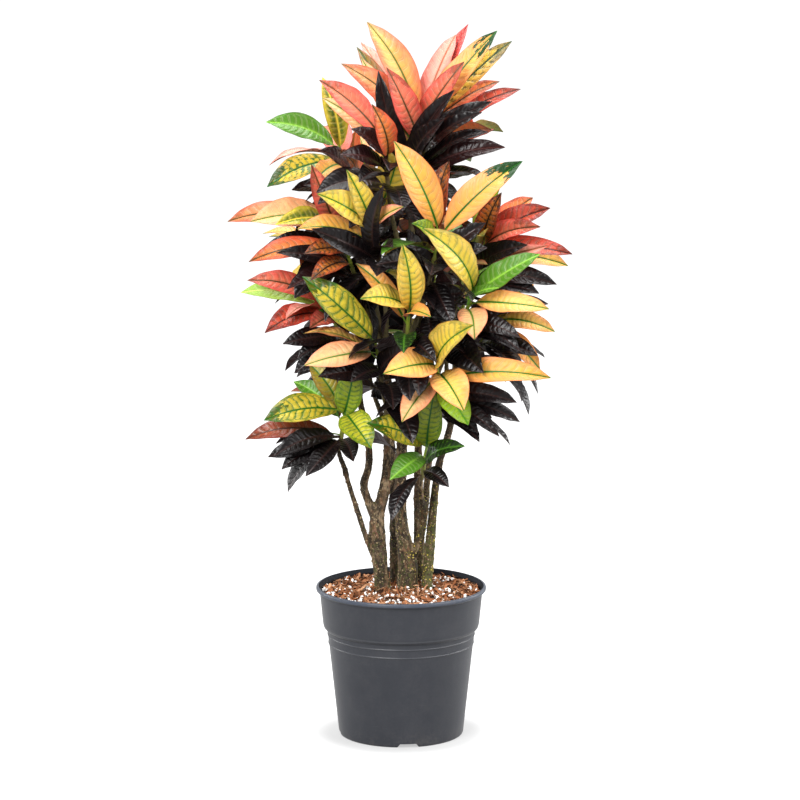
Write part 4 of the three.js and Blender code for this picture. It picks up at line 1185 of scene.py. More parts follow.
def chip_mesh(draw, length, width, thick):
    """A flake of bark: a bent slab with an uneven outline."""
    columns, rows = 4, 3
    upper, lower = [], []
    for c in range(columns):
        for r in range(rows):
            x = (c / (columns - 1) - 0.5) * length * draw(0.85, 1.1)
            pinch = 1 - 0.45 * abs(c / (columns - 1) - 0.5) * 2 * draw(0.3, 1.2)
            y = (r / (rows - 1) - 0.5) * width * pinch * draw(0.85, 1.1)
            z = 0.12 * length * math.cos(2.2 * x / length) + draw(-0.25, 0.25) * thick
            edge = 0.55 if r != 1 or c in (0, columns - 1) else 1
            upper.append((x, y, z + thick * edge / 2))
            lower.append((x, y, z - thick * edge / 2))
    at = lambda c, r: c * rows + r
    under = columns * rows
    faces = []
    for c in range(columns - 1):
        for r in range(rows - 1):
            quad = (at(c, r), at(c + 1, r), at(c + 1, r + 1), at(c, r + 1))
            faces += [quad, tuple(under + i for i in reversed(quad))]
    ring = [at(c, 0) for c in range(columns)] + [at(columns - 1, r) for r in range(1, rows)]
    ring += [at(c, rows - 1) for c in range(columns - 2, -1, -1)]
    ring += [at(0, r) for r in range(rows - 2, 0, -1)]
    for a, b in zip(ring, ring[1:] + ring[:1]):
        faces.append((b, a, under + a, under + b))
    mesh = mesh_of("chip", np.array(upper + lower), faces)
    mesh.set_sharp_from_angle(angle=math.radians(45))
    return mesh


def fibre_mesh(draw, length):
    """A curled strand of coco fibre."""
    t = np.linspace(0, 1, 7)
    bend, sway = draw(0.1, 0.35), draw(-0.2, 0.2)
    arch = np.sin(np.pi * t)
    lean = length * (0.12 * arch + sway * 0.3 * np.sin(2 * np.pi * t))
    places = np.stack([(t - 0.5) * length, length * bend * arch * 0.7, lean], axis=1)
    points, faces = tube(places, np.array((0.12, 0.3, 0.36, 0.38, 0.34, 0.26, 0.1)), 4)
    return mesh_of("fibre", points, faces)


def grain_mesh(draw, size, corners, longer=1.0):
    """A rough, rounded grain, of which one side may be longer."""
    shell = bmesh.new()
    for i in range(corners):
        z = 1 - 2 * (i + 0.5) / corners
        angle = math.radians(GOLDEN_ANGLE * i)
        ring = math.sqrt(1 - z * z)
        radius = size / 2 * draw(0.78, 1.15) * MM
        shell.verts.new((radius * ring * math.cos(angle) * longer, radius * ring * math.sin(angle),
                         radius * z))
    bmesh.ops.convex_hull(shell, input=shell.verts)
    bmesh.ops.recalc_face_normals(shell, faces=shell.faces)
    mesh = bpy.data.meshes.new("grain")
    shell.to_mesh(mesh)
    shell.free()
    return mesh


def body_radius(z):
    """The pot's radius outside, between the foot and the step under the collar."""
    share = (z - 4) / (COLLAR_FOOT - 6 - 4)
    return FOOT_RADIUS + 0.5 + share * (NECK_RADIUS - FOOT_RADIUS - 0.5)


def rounded(profile, steps=4):
    """A profile of radius, height and corner size, with its corners rounded."""
    points = []
    for i, (r, z, size) in enumerate(profile):
        here = np.array((r, z), float)
        if size == 0 or i in (0, len(profile) - 1):
            points.append(here)
            continue
        back = np.array(profile[i - 1][:2]) - here
        on = np.array(profile[i + 1][:2]) - here
        first = here + back * min(size / np.linalg.norm(back), 0.48)
        last = here + on * min(size / np.linalg.norm(on), 0.48)
        for k in range(steps + 1):
            t = k / steps
            points.append((1 - t) ** 2 * first + 2 * (1 - t) * t * here + t**2 * last)
    return points


def revolve(name, profile, sides):
    """A closed solid of revolution whose profile starts and ends on the axis."""
    angles = [2 * math.pi * i / sides for i in range(sides)]
    rings = [[(r * math.cos(a), r * math.sin(a), z) for a in (angles if r else angles[:1])]
             for r, z in profile]
    return mesh_of_rings(name, rings)


def cut_away(piece, cutters):
    """Cuts closed meshes out of a piece."""
    for number, mesh in enumerate(cutters):
        cutter = add_piece(f"cutter_{number}", mesh)
        cut = piece.modifiers.new("Cut", "BOOLEAN")
        cut.operation, cut.solver, cut.object = "DIFFERENCE", "EXACT", cutter
    settle(piece)
    for number, mesh in enumerate(cutters):
        bpy.data.objects.remove(bpy.data.objects[f"cutter_{number}"])
        bpy.data.meshes.remove(mesh)


def notch_cutter(bearing):
    """A block, narrower above, across the foot ring."""
    foot, top, tall = NOTCH["foot"] / 2, NOTCH["top"] / 2, NOTCH["height"]
    section = [(-foot, -4), (foot, -4), (foot, 0), (top + 1, tall - 1), (top, tall),
               (-top, tall), (-top - 1, tall - 1), (-foot, 0)]
    turn = Matrix.Rotation(math.radians(bearing), 3, "Z")
    points = [turn @ Vector((x, y, z)) for x in (FOOT_RADIUS - 12, FOOT_RADIUS + 12)
              for y, z in section]
    n = len(section)
    faces = [tuple(reversed(range(n))), tuple(range(n, 2 * n))]
    faces += [(i, (i + 1) % n, n + (i + 1) % n, n + i) for i in range(n)]
    return mesh_of("notch", np.array(points), faces)


def drain_cutter(bearing):
    """A plug through the floor for one drain hole."""
    x = DRAIN["ring"] * math.cos(math.radians(bearing))
    y = DRAIN["ring"] * math.sin(math.radians(bearing))
    low, high, radius = -4, FLOOR_TOP + 6, DRAIN["radius"]
    mesh = revolve("drain", [(0, low), (radius, low), (radius, high), (0, high)], DRAIN_SIDES)
    mesh.transform(Matrix.Translation((x * MM, y * MM, 0)))
    return mesh


def make_pot(settings, finishes):
    """The pot's shell, revolved, with its notches and drain holes cut, and its inside wall given a
    darker copy of the plastic as painted shade.
    """
    ridges = []
    for z in RIDGES:
        proud = body_radius(z) + RIDGE_PROUD
        ridges += [(body_radius(z - 1.4) - 0.2, z - 1.4, 0.5), (proud, z - 0.7, 0.5),
                   (proud, z + 0.3, 0.5), (body_radius(z + 1.2) + 0.3, z + 1.2, 0.5)]
    profile = [
        (0, 0, 0), (PAD_RADIUS, 0, 1.0), (PAD_RADIUS + 2, FLOOR_UNDER, 1.5),
        (FOOT_RADIUS - 7, FLOOR_UNDER, 1.2), (FOOT_RADIUS - 6, 0, 0.8), (FOOT_RADIUS - 2, 0, 1.6),
        (FOOT_RADIUS, 2.5, 1.6), *ridges,
        (NECK_RADIUS, COLLAR_FOOT - 6, 2.0), (NECK_RADIUS + 5, COLLAR_FOOT - 3, 2.2),
        (COLLAR_FOOT_RADIUS, COLLAR_FOOT + 3, 3.0), (COLLAR_TOP_RADIUS, POT_HEIGHT - 9, 2.0),
        (RIM_RADIUS, POT_HEIGHT - 6, 1.6), (RIM_RADIUS - 0.4, POT_HEIGHT - 1, 1.6),
        (RIM_RADIUS - 5, POT_HEIGHT, 1.8), (COLLAR_TOP_RADIUS - WALL, POT_HEIGHT - 7, 1.6),
        (COLLAR_FOOT_RADIUS - WALL, COLLAR_FOOT + 4, 3.0),
        (NECK_RADIUS - WALL, COLLAR_FOOT - 4, 3.0),
        (FOOT_RADIUS - WALL, FLOOR_TOP + 4, 2.0), (FOOT_RADIUS - WALL - 1, FLOOR_TOP, 2.0),
        (0, FLOOR_TOP, 0),
    ]
    pot = add_piece("nursery_pot", revolve("nursery_pot", rounded(profile), settings.sides))
    cutters = [notch_cutter(NOTCH["bearing"] + 360 * i / NOTCH["count"])
               for i in range(NOTCH["count"])]
    cutters += [drain_cutter((i + 0.5) * 360 / DRAIN["count"]) for i in range(DRAIN["count"])]
    cut_away(pot, cutters)
    pot.data.set_sharp_from_angle(angle=math.radians(40))
    paint(pot.data, *finishes)
    # Faces that face the axis above the floor take the second finish: the inner wall darkened as
    # painted shade.
    for face in pot.data.polygons:
        outwards = face.normal.x * face.center.x + face.normal.y * face.center.y
        face.material_index = int(outwards < 0 and face.center.z > FLOOR_TOP * MM)
    return pot


def wear_group():
    """Dust that lies in patches and a soft mottle of tone, one group for plastic, bark and mix."""
    name = "Dust And Mottle"
    if name in bpy.data.node_groups:
        return bpy.data.node_groups[name]
    group, n, start, put = new_group(
        name,
        (("Vector", "Vector"), ("Color", "Color"), ("Dust Color", "Color"), ("Dust", "Float"),
         ("Mottle", "Float"), ("Scale", "Float")),
        (("Color", "Color"), ("Dust", "Float")))
    broad = n.noise(start["Vector"], start["Scale"], 4.0, 0.6)
    fine = n.noise(start["Vector"], n.times(start["Scale"], 9.0), 3.0, 0.65)
    tone = n.fitted(n.minus(broad, 0.5), start["Mottle"], 1.0)
    colour = n.shaded(start["Color"], tone)
    lying = n.band(n.fitted(fine, 0.5, n.times(broad, 0.6)), 0.45, 0.75)
    lying = n.times(lying, start["Dust"])
    put("Color", n.mix(lying, colour, start["Dust Color"]))
    put("Dust", lying)
    return group


def dusted(n, group, vector, colour, dust_colour, dust, mottle, scale):
    """The colour with dust and mottle on it, and how much dust lies there."""
    values = {"Vector": vector, "Color": colour, "Dust Color": dust_colour, "Dust": dust,
              "Mottle": mottle, "Scale": scale}
    made = n.add("ShaderNodeGroup", values, node_tree=group).outputs
    return made["Color"], made["Dust"]


def pot_material(name, settings, group, shade=1.0, gloss=0.42, sheen=0.14):
    """Moulded plastic: satin, faintly drawn down, dusty at rim and foot, with a lighter rim and
    thin lighter ridge and collar lines as painted highlight; a shade below 1 darkens it all as
    painted shade.
    """
    material, n, feed, bump = new_material(name, 0.46, Specular_IOR_Level=gloss,
                                           Sheen_Weight=sheen, Sheen_Roughness=0.35)
    where = n.where()
    z = n.axes(where)[2]
    rim = n.band(z, 0.2325, 0.2345)
    low = n.band(z, 0.0, 0.03, 1.0, 0.0)
    # A shade below 1 darkens these colours, the dust and the ridge lines as painted shade, for the
    # inner wall.
    wall, edge = (tuple(shade * part for part in colour) + (1.0,)
                  for colour in (settings.colour, settings.rim_highlight_colour))
    # The rim band takes the lighter rim colour as painted highlight on the rolled rim.
    body = n.mix(rim, wall, edge)
    # Painted highlight: thin lighter lines at the two ridges and at the collar's lower edge, where
    # light catches those edges.
    painted_highlight = 0.0
    for height, wide in ((RIDGES[0], 0.9), (RIDGES[1], 0.9), (COLLAR_FOOT - 0.4, 1.3)):
        off = n.math("ABSOLUTE", n.minus(z, (height - 0.3) * MM))
        line = n.band(off, 0.5 * wide * MM, 1.4 * wide * MM, 1.0, 0.0)
        painted_highlight = n.most(painted_highlight, line)
    body = n.mix(n.times(painted_highlight, 0.12 * shade), body, (0.2, 0.205, 0.215, 1.0))
    streaks = n.noise(n.stretch(where, 160, 160, 6), 1.0, 3.0, 0.6)
    amount = n.fitted(n.most(rim, low), 0.16, 0.05 * shade)
    colour, dust = dusted(n, group, where, body, (0.16 * shade, 0.14 * shade, 0.12 * shade, 1.0),
                          amount, 0.3, 26.0)
    tone = n.fitted(streaks, 0.16, 0.92)
    colour = n.shaded(colour, tone)
    scuff = n.noise(n.stretch(where, 40, 40, 700), 1.0, 2.0, 0.7, 1.2)
    scuff = n.band(scuff, 0.66, 0.74, 0.0, 0.14 * shade)
    feed("Base Color", n.mix(scuff, colour, (0.12, 0.12, 0.13, 1.0)))
    rough = n.fitted(streaks, 0.1, 0.66 - 0.3 * shade)
    feed("Roughness", n.fitted(dust, 0.35, rough))
    grain = n.noise(where, 1900.0, 2.0, 0.6)
    waves = n.noise(n.stretch(where, 60, 60, 14), 1.0, 1.0)
    bump(n.fitted(waves, 6.0, grain), 0.05, 0.6)
    return material


def soil_height(x, y):
    """The height of the mix, lumpy and a little heaped at the middle, as in the source."""
    lumps = np.sin(x / 5 + 2 * np.sin(y / 13)) * np.cos(y / 6 + np.sin(x / 11))
    return SOIL_TOP + SOIL_RELIEF * lumps + 3 * (1 - np.hypot(x, y) / COLLAR_TOP_RADIUS)


def inner_wall(z):
    """The radius inside the pot at a height."""
    heights = (FLOOR_TOP, FLOOR_TOP + 4, COLLAR_FOOT - 4, COLLAR_FOOT + 4, POT_HEIGHT - 7)
    radii = (FOOT_RADIUS - WALL - 1, FOOT_RADIUS - WALL, NECK_RADIUS - WALL,
             COLLAR_FOOT_RADIUS - WALL, COLLAR_TOP_RADIUS - WALL)
    return np.interp(z, heights, radii) - SOIL_CLEAR


def make_soil_bed(material):
    """The bed of mix: a lumpy top, heaped a little round each trunk, over a plain body."""
    edge = inner_wall(SOIL_TOP) - 0.8
    radii = np.linspace(0, 1, SOIL_RINGS + 1)[1:] * edge
    angles = 2 * np.pi * np.arange(SOIL_SIDES) / SOIL_SIDES
    feet = [(*limbs[0][0][1][:2], limbs[0][1]) for limbs in TRUNKS.values()]
    x, y = (np.outer(radii, part(angles)) for part in (np.cos, np.sin))
    z = soil_height(x, y)
    rough = np.array([[noise.fractal(Vector((a * 0.16, b * 0.16, 3.0)), 0.9, 2.0, 4)
                       for a, b in zip(ra, rb)] for ra, rb in zip(x, y)])
    z = z - 1.5 + 2.2 * rough
    for foot_x, foot_y, radius in feet:
        z = z + 4.5 * np.exp(-(np.maximum(np.hypot(x - foot_x, y - foot_y) - radius, 0) / 7) ** 2)
    rings = [[(0, 0, soil_height(0, 0) - 1)], *np.stack([x, y, z], axis=2)]
    for level in (200, COLLAR_FOOT + 4, COLLAR_FOOT - 4, 100, FLOOR_TOP + 4, FLOOR_TOP + GAP):
        radius = inner_wall(level)
        rings.append(np.stack([radius * np.cos(angles), radius * np.sin(angles),
                               np.full(SOIL_SIDES, float(level))], axis=1))
    rings.append([(0, 0, FLOOR_TOP + GAP)])
    mesh = mesh_of_rings("potting_bed", rings, turned=True)
    x, y, z = np.concatenate(rings).T
    open_top = (z > SOIL_TOP - 9) & (np.hypot(x, y) < edge - 2.5)
    for foot_x, foot_y, radius in feet:
        open_top &= np.hypot(x - foot_x, y - foot_y) >= radius + 1
    hold(mesh, STREWN, open_top.astype(float))
    return add_piece("potting_bed", mesh, material)


def mix_material(name, dark, light, pale, group):
    """Bark, coco or perlite: each piece has its own tint between two colours."""
    material, n, feed, bump = new_material(name, 0.85, Specular_IOR_Level=0.15)
    where = n.where()
    tint = n.attribute("tint").outputs["Fac"]
    grain = n.noise(n.stretch(where, 700, 700, 700), 1.0, 3.0, 0.65, 0.6)
    share = n.fitted(grain, 0.5, n.times(tint, 0.75))
    colour = n.mix(n.band(share, 0.25, 0.85), dark, light)
    colour = n.mix(n.band(share, 0.88, 1.05, 0.0, 0.75), colour, pale)
    dust = (0.06, 0.03, 0.016, 1.0)
    feed("Base Color", dusted(n, group, where, colour, dust, 0.1, 0.7, 90.0)[0])
    feed("Roughness", n.fitted(grain, 0.2, 0.75))
    bump(grain, 0.35, 0.8)
    return material


def fine_mix_and_shade_material(group):
    """The fine mix that shows between the chips, near-black: partly its own dark colour, partly
    painted shade in the gaps.
    """
    material, n, feed, bump = new_material("Fine Mix And Painted Shade", 0.95, Specular_IOR_Level=0.2)
    where = n.where()
    grain = n.noise(where, 620.0, 4.0, 0.7)
    # Near-black: the fine mix's own dark colour, and painted shade between the chips.
    colour = n.mix(n.band(grain, 0.3, 0.75), (0.009, 0.005, 0.003, 1.0), (0.055, 0.02, 0.01, 1.0))
    feed("Base Color", dusted(n, group, where, colour, (0.12, 0.05, 0.03, 1.0), 0.2, 0.8, 60.0)[0])
    bump(grain, 1.2, 1.0)
    return material


def scale_mask(mesh, name, shares):
    """Multiplies a stored value by a share at each point."""
    values = np.empty(len(mesh.vertices), np.float32)
    mesh.attributes[name].data.foreach_get("value", values)
    mesh.attributes[name].data.foreach_set("value", (values * shares).astype(np.float32))


def keep_in_pot(piece):
    """Draws in what was strewn through the pot's wall, up to where it may lean on the rim."""
    points = read_rows(piece.data.vertices) / MM
    across = np.maximum(np.hypot(points[:, 0], points[:, 1]), 1.0)
    low = np.minimum(points[:, 2], POT_HEIGHT - 8)
    limit = inner_wall(low) - 0.3
    limit = limit + ease(points[:, 2], POT_HEIGHT - 2, POT_HEIGHT + 0.8) * (RIM_RADIUS - 2 - limit)
    points[:, :2] *= np.minimum(1, limit / across)[:, None]
    move_points(piece.data, points)


def make_mix(settings, materials):
    """The bed with chips, crumbs, splinters, fibres and perlite strewn over it."""
    draw = drawer(settings.seed)
    tree = scatter_tree("Strewn Mix")
    bed = make_soil_bed(materials["bed"])
    ground = bed.data.copy()
    pieces = []
    chips = [chip_mesh(draw, draw(11, 23), draw(2.6, 5), draw(0.9, 1.7)) for i in range(9)]
    crumbs = [chip_mesh(draw, draw(3, 6), draw(2, 3.6), draw(1, 1.8)) for i in range(5)]
    splinters = [chip_mesh(draw, draw(15, 24), draw(1.7, 2.8), draw(0.9, 1.4)) for i in range(5)]
    fibres = [fibre_mesh(draw, draw(12, 30)) for i in range(6)]
    perlite = [grain_mesh(draw, draw(3.8, 4.8), 22, 1.6) for i in range(5)]
    # Each kind is its name, shapes, material, density, scales, tilt, lift, flatness and seed.
    kinds = (
        ("chips", chips, "chips", settings.chips, 0.45, 1.1, 0.75, 1.1, 1.0, 3),
        ("crumbs", crumbs, "chips", settings.chips * 0.8, 0.5, 1.1, 0.9, 0.7, 1.0, 8),
        ("splinters", splinters, "chips", settings.splinters, 0.6, 1.1, 1.25, 3.2, 1.0, 17),
        ("fibres", fibres, "fibres", settings.fibres, 0.6, 1.2, 0.28, 2.4, 0.6, 5),
        ("perlite", perlite, "perlite", settings.perlite, 0.75, 1.3, 3.1, 2.2, 0.85, 11),
    )
    place = read_rows(ground.vertices) / MM
    drifts = np.array([noise.noise(Vector((x * 0.035, y * 0.035, 7.0))) for x, y, z in place])
    front = ease(-place[:, 1], -30, 70)
    for name, meshes, finish, density, least, most, tilt, lift, flatten, seed in kinds:
        if name == "perlite":
            scale_mask(ground, STREWN, 0.2 + 0.95 * ease(drifts + 0.3 * front, 0.0, 0.34))
        piece = strew(f"mix_{name}", ground, tree, meshes, materials[finish], Density=density,
                      Least_Scale=least, Most_Scale=most, Tilt=tilt, Lift=lift * MM,
                      Flatten=flatten, Seed=seed)
        keep_in_pot(piece)
        pieces.append(piece)
    bpy.data.meshes.remove(ground)
    return bed, pieces


def strew_specks(name, bark, tree, specks, lichen, settings, draw):
    """Lenticels on a trunk's old bark, and lichen in patches low down on it."""
    place = read_rows(bark.vertices) / MM
    above = place[:, 2] - SOIL_TOP
    age = np.clip(1.25 - above / 420, 0, 1) * (place[:, 2] > SOIL_TOP + 3)
    patches = np.array([noise.noise(Vector(point * 0.06)) for point in place])
    lit = 0.012 * (place[:, 0] - 14)
    low = np.clip(1.1 - above / 230, 0, 1) * (place[:, 2] > SOIL_TOP + 3)
    pieces = []
    for label, finish, mask, density, size, seed in (
            ("lenticels", specks, age, settings.lenticels * 2, 2.9, 5),
            ("lichen", lichen, low * ease(patches + lit, 0.0, 0.4), settings.lenticels * 3.4,
             2.5, 9)):
        ground = bark.copy()
        hold(ground, STREWN, mask)
        grains = [grain_mesh(draw, size, 9) for i in range(3)]
        piece = strew(f"{name}_{label}", ground, tree, grains, finish, Density=density, Seed=seed,
                      Least_Scale=0.5, Most_Scale=1.25, Tilt=0.3, Lift=-0.1 * MM, Flatten=0.6)
        bpy.data.meshes.remove(ground)
        if len(piece.data.polygons):
            pieces.append(piece)
        else:
            bpy.data.objects.remove(piece)
    return pieces


def bark_material(settings, group):
    """Grey-brown bark with darker cracks, greener on thin wood, mossed low down."""
    material, n, feed, bump = new_material("Croton Bark", 0.8, Specular_IOR_Level=0.3)
    where = n.where()
    relief = n.attribute("bark_relief").outputs["Fac"]
    age = n.attribute("bark_age").outputs["Fac"]
    streak = n.noise(n.stretch(where, 420, 420, 90), 1.0, 4.0, 0.65, 0.5)
    patch = n.noise(n.stretch(where, 60, 60, 34), 1.0, 4.0, 0.6, 0.8)
    fine = n.noise(where, 1500.0, 3.0, 0.7)
    young = n.mix(streak, (0.085, 0.075, 0.03, 1.0), (0.21, 0.17, 0.075, 1.0))
    old = n.mix(n.band(streak, 0.25, 0.8), tuple(settings.crack_colour) + (1.0,),
                tuple(settings.bark_colour) + (1.0,))
    pale = n.band(patch, 0.5, 0.64, 0.0, 0.8)
    old = n.mix(pale, old, (0.42, 0.3, 0.18, 1.0))
    ruddy = n.noise(n.stretch(where, 44, 44, 20), 1.0, 3.0, 0.6, 1.4)
    old = n.mix(n.band(ruddy, 0.52, 0.66, 0.0, 0.6), old, (0.21, 0.085, 0.048, 1.0))
    dusky = n.noise(n.stretch(where, 120, 120, 44), 1.0, 3.0, 0.6, 0.6)
    old = n.mix(n.band(dusky, 0.45, 0.57, 0.0, 0.92), old, (0.02, 0.015, 0.009, 1.0))
    wood = n.mix(n.band(age, 0.15, 0.6), young, old)
    crack = n.band(relief, -0.75, 0.05, 0.9, 0.0)
    wood = n.mix(crack, wood, (0.022, 0.014, 0.009, 1.0))
    raised = n.band(relief, 0.35, 1.1, 0.0, 0.4)
    wood = n.mix(raised, wood, (0.2, 0.145, 0.095, 1.0))
    dots = n.add("ShaderNodeTexVoronoi", {"Vector": n.stretch(where, 330, 330, 260), "Scale": 1.0},
                 feature="F1").outputs["Distance"]
    dots = n.times(n.band(dots, 0.13, 0.24, 1.0, 0.0), n.band(age, 0.1, 0.5))
    wood = n.mix(n.times(dots, 0.7), wood, (0.4, 0.33, 0.2, 1.0))
    at = n.axes(where)
    low = n.band(at[2], 0.24, 0.52, 1.0, 0.0)
    right = n.band(at[0], 0.02, 0.06, 0.45, 1.0)
    moss_at = n.times(n.times(low, 0.3), right)
    moss = n.noise(where, 210.0, 5.0, 0.7)
    moss = n.band(n.plus(moss, moss_at), 0.62, 0.74, 0.0, 0.85)
    green = n.mix(fine, (0.016, 0.024, 0.006, 1.0), (0.13, 0.14, 0.03, 1.0))
    colour = n.mix(moss, wood, green)
    feed("Base Color", dusted(n, group, where, colour, (0.2, 0.15, 0.1, 1.0), 0.2, 0.6, 40.0)[0])
    feed("Roughness", n.fitted(fine, 0.2, 0.68))
    height = n.fitted(fine, 0.5, streak)
    height = n.fitted(moss, 0.7, height)
    bump(n.fitted(dots, 0.5, height), 1.3, 1.0)
    return material


def speck_material(name, dark, light):
    """Lichen or lenticels: small raised specks with their own tints."""
    material, n, feed, bump = new_material(name, 0.9, Specular_IOR_Level=0.2)
    where = n.where()
    tint = n.attribute("tint").outputs["Fac"]
    grain = n.noise(where, 1300.0, 3.0, 0.6)
    share = n.fitted(grain, 0.6, n.times(tint, 0.6))
    feed("Base Color", n.mix(n.band(share, 0.2, 0.95), dark, light))
    bump(grain, 0.3, 0.7)
    return material


def make_floor(settings):
    """A floor that shines white to the camera, save where the pot's shade falls on it."""
    reach = FLOOR_REACH
    corners = ((-reach, -reach, 0), (reach, -reach, 0), (reach, reach, 0), (-reach, reach, 0))
    material, n, feed, _ = new_material(
        "Studio Floor", 0.9, Specular_IOR_Level=0.0, Base_Color=(0.2, 0.2, 0.2, 1),
        Emission_Color=(1, 1, 1, 1))
    far = n.add("ShaderNodeVectorMath", {0: n.where()}, operation="LENGTH").outputs["Value"]
    seen = n.band(far, 0.11, 0.17, settings.floor, 1.0)
    camera_ray = n.add("ShaderNodeLightPath").outputs["Is Camera Ray"]
    shine = n.add("ShaderNodeMix", {0: camera_ray, 2: settings.fill, 3: seen}).outputs[0]
    feed("Emission Strength", shine)
    return add_piece("studio_floor", mesh_of("studio_floor", corners, [(0, 1, 2, 3)]), material)


def make_world(settings):
    """An even white light all round."""
    world = bpy.data.worlds.new("Studio")
    world.use_nodes = True
    light = Nodes(world.node_tree)
    sky = light.add("ShaderNodeBackground", {"Color": (1, 1, 1, 1), "Strength": settings.sky})
    light.add("ShaderNodeOutputWorld", {"Surface": sky.outputs[0]})
    return world


def finish_piece(piece, slot, *nodes):
    """Rides a finished piece on the frame and hides the solids it stands for. Its slot is not
    used.
    """
    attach(piece, BODY)
    if nodes:
        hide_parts(*nodes)


class CrotonPotSettings(bpy.types.PropertyGroup):
    """Sizes and colours of the nursery pot."""
    sides: IntProperty(name="Sides", description="Segments round the pot", default=144, min=48,
                       max=256)
    colour: FloatVectorProperty(name="Plastic Colour", description="Colour of the wall",
                                subtype="COLOR", default=linear((47, 49, 55))[:3])
    # The rim's colour is lighter than the wall's, as painted highlight on the rolled rim.
    rim_highlight_colour: FloatVectorProperty(name="Rim Highlight Colour", description="Colour of the rim",
                                    subtype="COLOR", default=linear((59, 66, 79))[:3])


class CrotonMixSettings(bpy.types.PropertyGroup):
    """How thickly the potting mix is strewn."""
    seed: IntProperty(name="Seed", description="Seed of the shapes of the chips", default=41)
    chips: FloatProperty(name="Chips", description="Bark chips on a square metre",
                         default=23000.0, min=0.0)
    splinters: FloatProperty(name="Splinters", description="Raised splinters on a square metre",
                             default=2600.0, min=0.0)
    fibres: FloatProperty(name="Fibres", description="Coco fibres on a square metre",
                          default=5200.0, min=0.0)
    perlite: FloatProperty(name="Perlite", description="Perlite grains on a square metre",
                           default=9000.0, min=0.0)


class CrotonWoodSettings(bpy.types.PropertyGroup):
    """The bark of the trunks and twigs."""
    skin: FloatProperty(name="Skin", description="Size of a face of the grown skin",
                        subtype="DISTANCE", unit="LENGTH", default=0.0017, min=0.001)
    relief: FloatProperty(name="Relief", description="How strongly the bark is shaped",
                          subtype="FACTOR", default=0.85, min=0.0, max=1.0)
    lenticels: FloatProperty(name="Lenticels", description="Specks on a square metre",
                             default=9000.0, min=0.0)
    bark_colour: FloatVectorProperty(name="Bark Colour", description="Colour of old bark",
                                     subtype="COLOR", default=linear((124, 94, 62))[:3])
    crack_colour: FloatVectorProperty(name="Crack Colour", description="Colour in its cracks",
                                      subtype="COLOR", default=linear((36, 27, 18))[:3])


class CrotonLeafSettings(bpy.types.PropertyGroup):
    """The leaves' blades."""
    thickness: FloatProperty(name="Thickness", description="Thickness of a blade in millimetres",
                             default=0.8, min=0.6, max=2.0)
    wave: FloatProperty(name="Wave", description="Wave of the margins in millimetres",
                        default=2.2, min=0.0, max=5.0)
    rows: IntProperty(name="Rows", description="Faces along a blade", default=36, min=12, max=60)
    columns: IntProperty(name="Columns", description="Faces across a blade", default=8, min=4,
                         max=16)
    vein_pairs: FloatProperty(name="Vein Pairs", description="Side veins on each side of a leaf",
                              default=11.5, min=4.0, max=20.0)


class CrotonStageSettings(bpy.types.PropertyGroup):
    """The photograph's studio."""
    distance: FloatProperty(name="Camera Distance", description="From the pot's axis",
                            subtype="DISTANCE", unit="LENGTH", default=6.0)
    height: FloatProperty(name="Camera Height", description="Above the floor", subtype="DISTANCE",
                          unit="LENGTH", default=1.636)
    pitch: FloatProperty(name="Camera Pitch", description="How far it looks down",
                         subtype="ANGLE", unit="ROTATION", default=math.radians(10.37))
    lens: FloatProperty(name="Lens", description="Focal length in millimetres", default=174.6)
    shift: FloatProperty(name="Shift", description="Sideways shift of the frame", default=-0.0014)
    sky: FloatProperty(name="Room Light", description="Strength of the even light", default=0.46,
                       min=0.0)
    key: FloatProperty(name="Soft Box", description="Power of the front soft box in watts",
                       default=212.0, min=0.0)
    fill: FloatProperty(name="Floor Light", description="Light that the floor throws up",
                        default=0.21, min=0.0)
    floor: FloatProperty(name="Floor White", description="Glow of the floor by the pot",
                         default=0.52, min=0.0)


class CROTON_OT_pot(bpy.types.Operator):
    """Make the nursery pot in place of its solid"""
    bl_idname = "croton.pot"
    bl_label = "Nursery Pot"

    def execute(self, context):
        settings = context.scene.croton_pot
        group = wear_group()
        # The second finish is the same plastic at a fifth of its colour, with less gloss and no
        # sheen: painted shade for the inner wall.
        finishes = (pot_material("Pot Plastic", settings, group),
                    pot_material("Pot Inner Wall Painted Shade", settings, group, 0.2, 0.1, 0.0))
        pot = make_pot(settings, finishes)
        finish_piece(pot, "pot_plastic", "pot")
        return {"FINISHED"}


class CROTON_OT_mix(bpy.types.Operator):
    """Make the potting mix with its chips, splinters, fibres and perlite"""
    bl_idname = "croton.mix"
    bl_label = "Potting Mix"

    def execute(self, context):
        group = wear_group()
        materials = {"bed": fine_mix_and_shade_material(group)}
        for slot, name, dark, light, pale in (
                ("chips", "Bark Chips", (0.014, 0.005, 0.002, 1.0), (0.31, 0.115, 0.047, 1.0),
                 (0.78, 0.46, 0.26, 1.0)),
                ("fibres", "Coco Fibre", (0.1, 0.04, 0.018, 1.0), (0.42, 0.22, 0.11, 1.0),
                 (0.6, 0.4, 0.24, 1.0)),
                ("perlite", "Perlite", (0.8, 0.75, 0.69, 1.0), (1.0, 0.99, 0.97, 1.0),
                 (1.0, 1.0, 1.0, 1.0))):
            materials[slot] = mix_material(name, dark, light, pale, group)
        bed, pieces = make_mix(context.scene.croton_mix, materials)
        finish_piece(bed, "potting_mix", "soil")
        for piece in pieces:
            finish_piece(piece, "potting_mix")
        return {"FINISHED"}


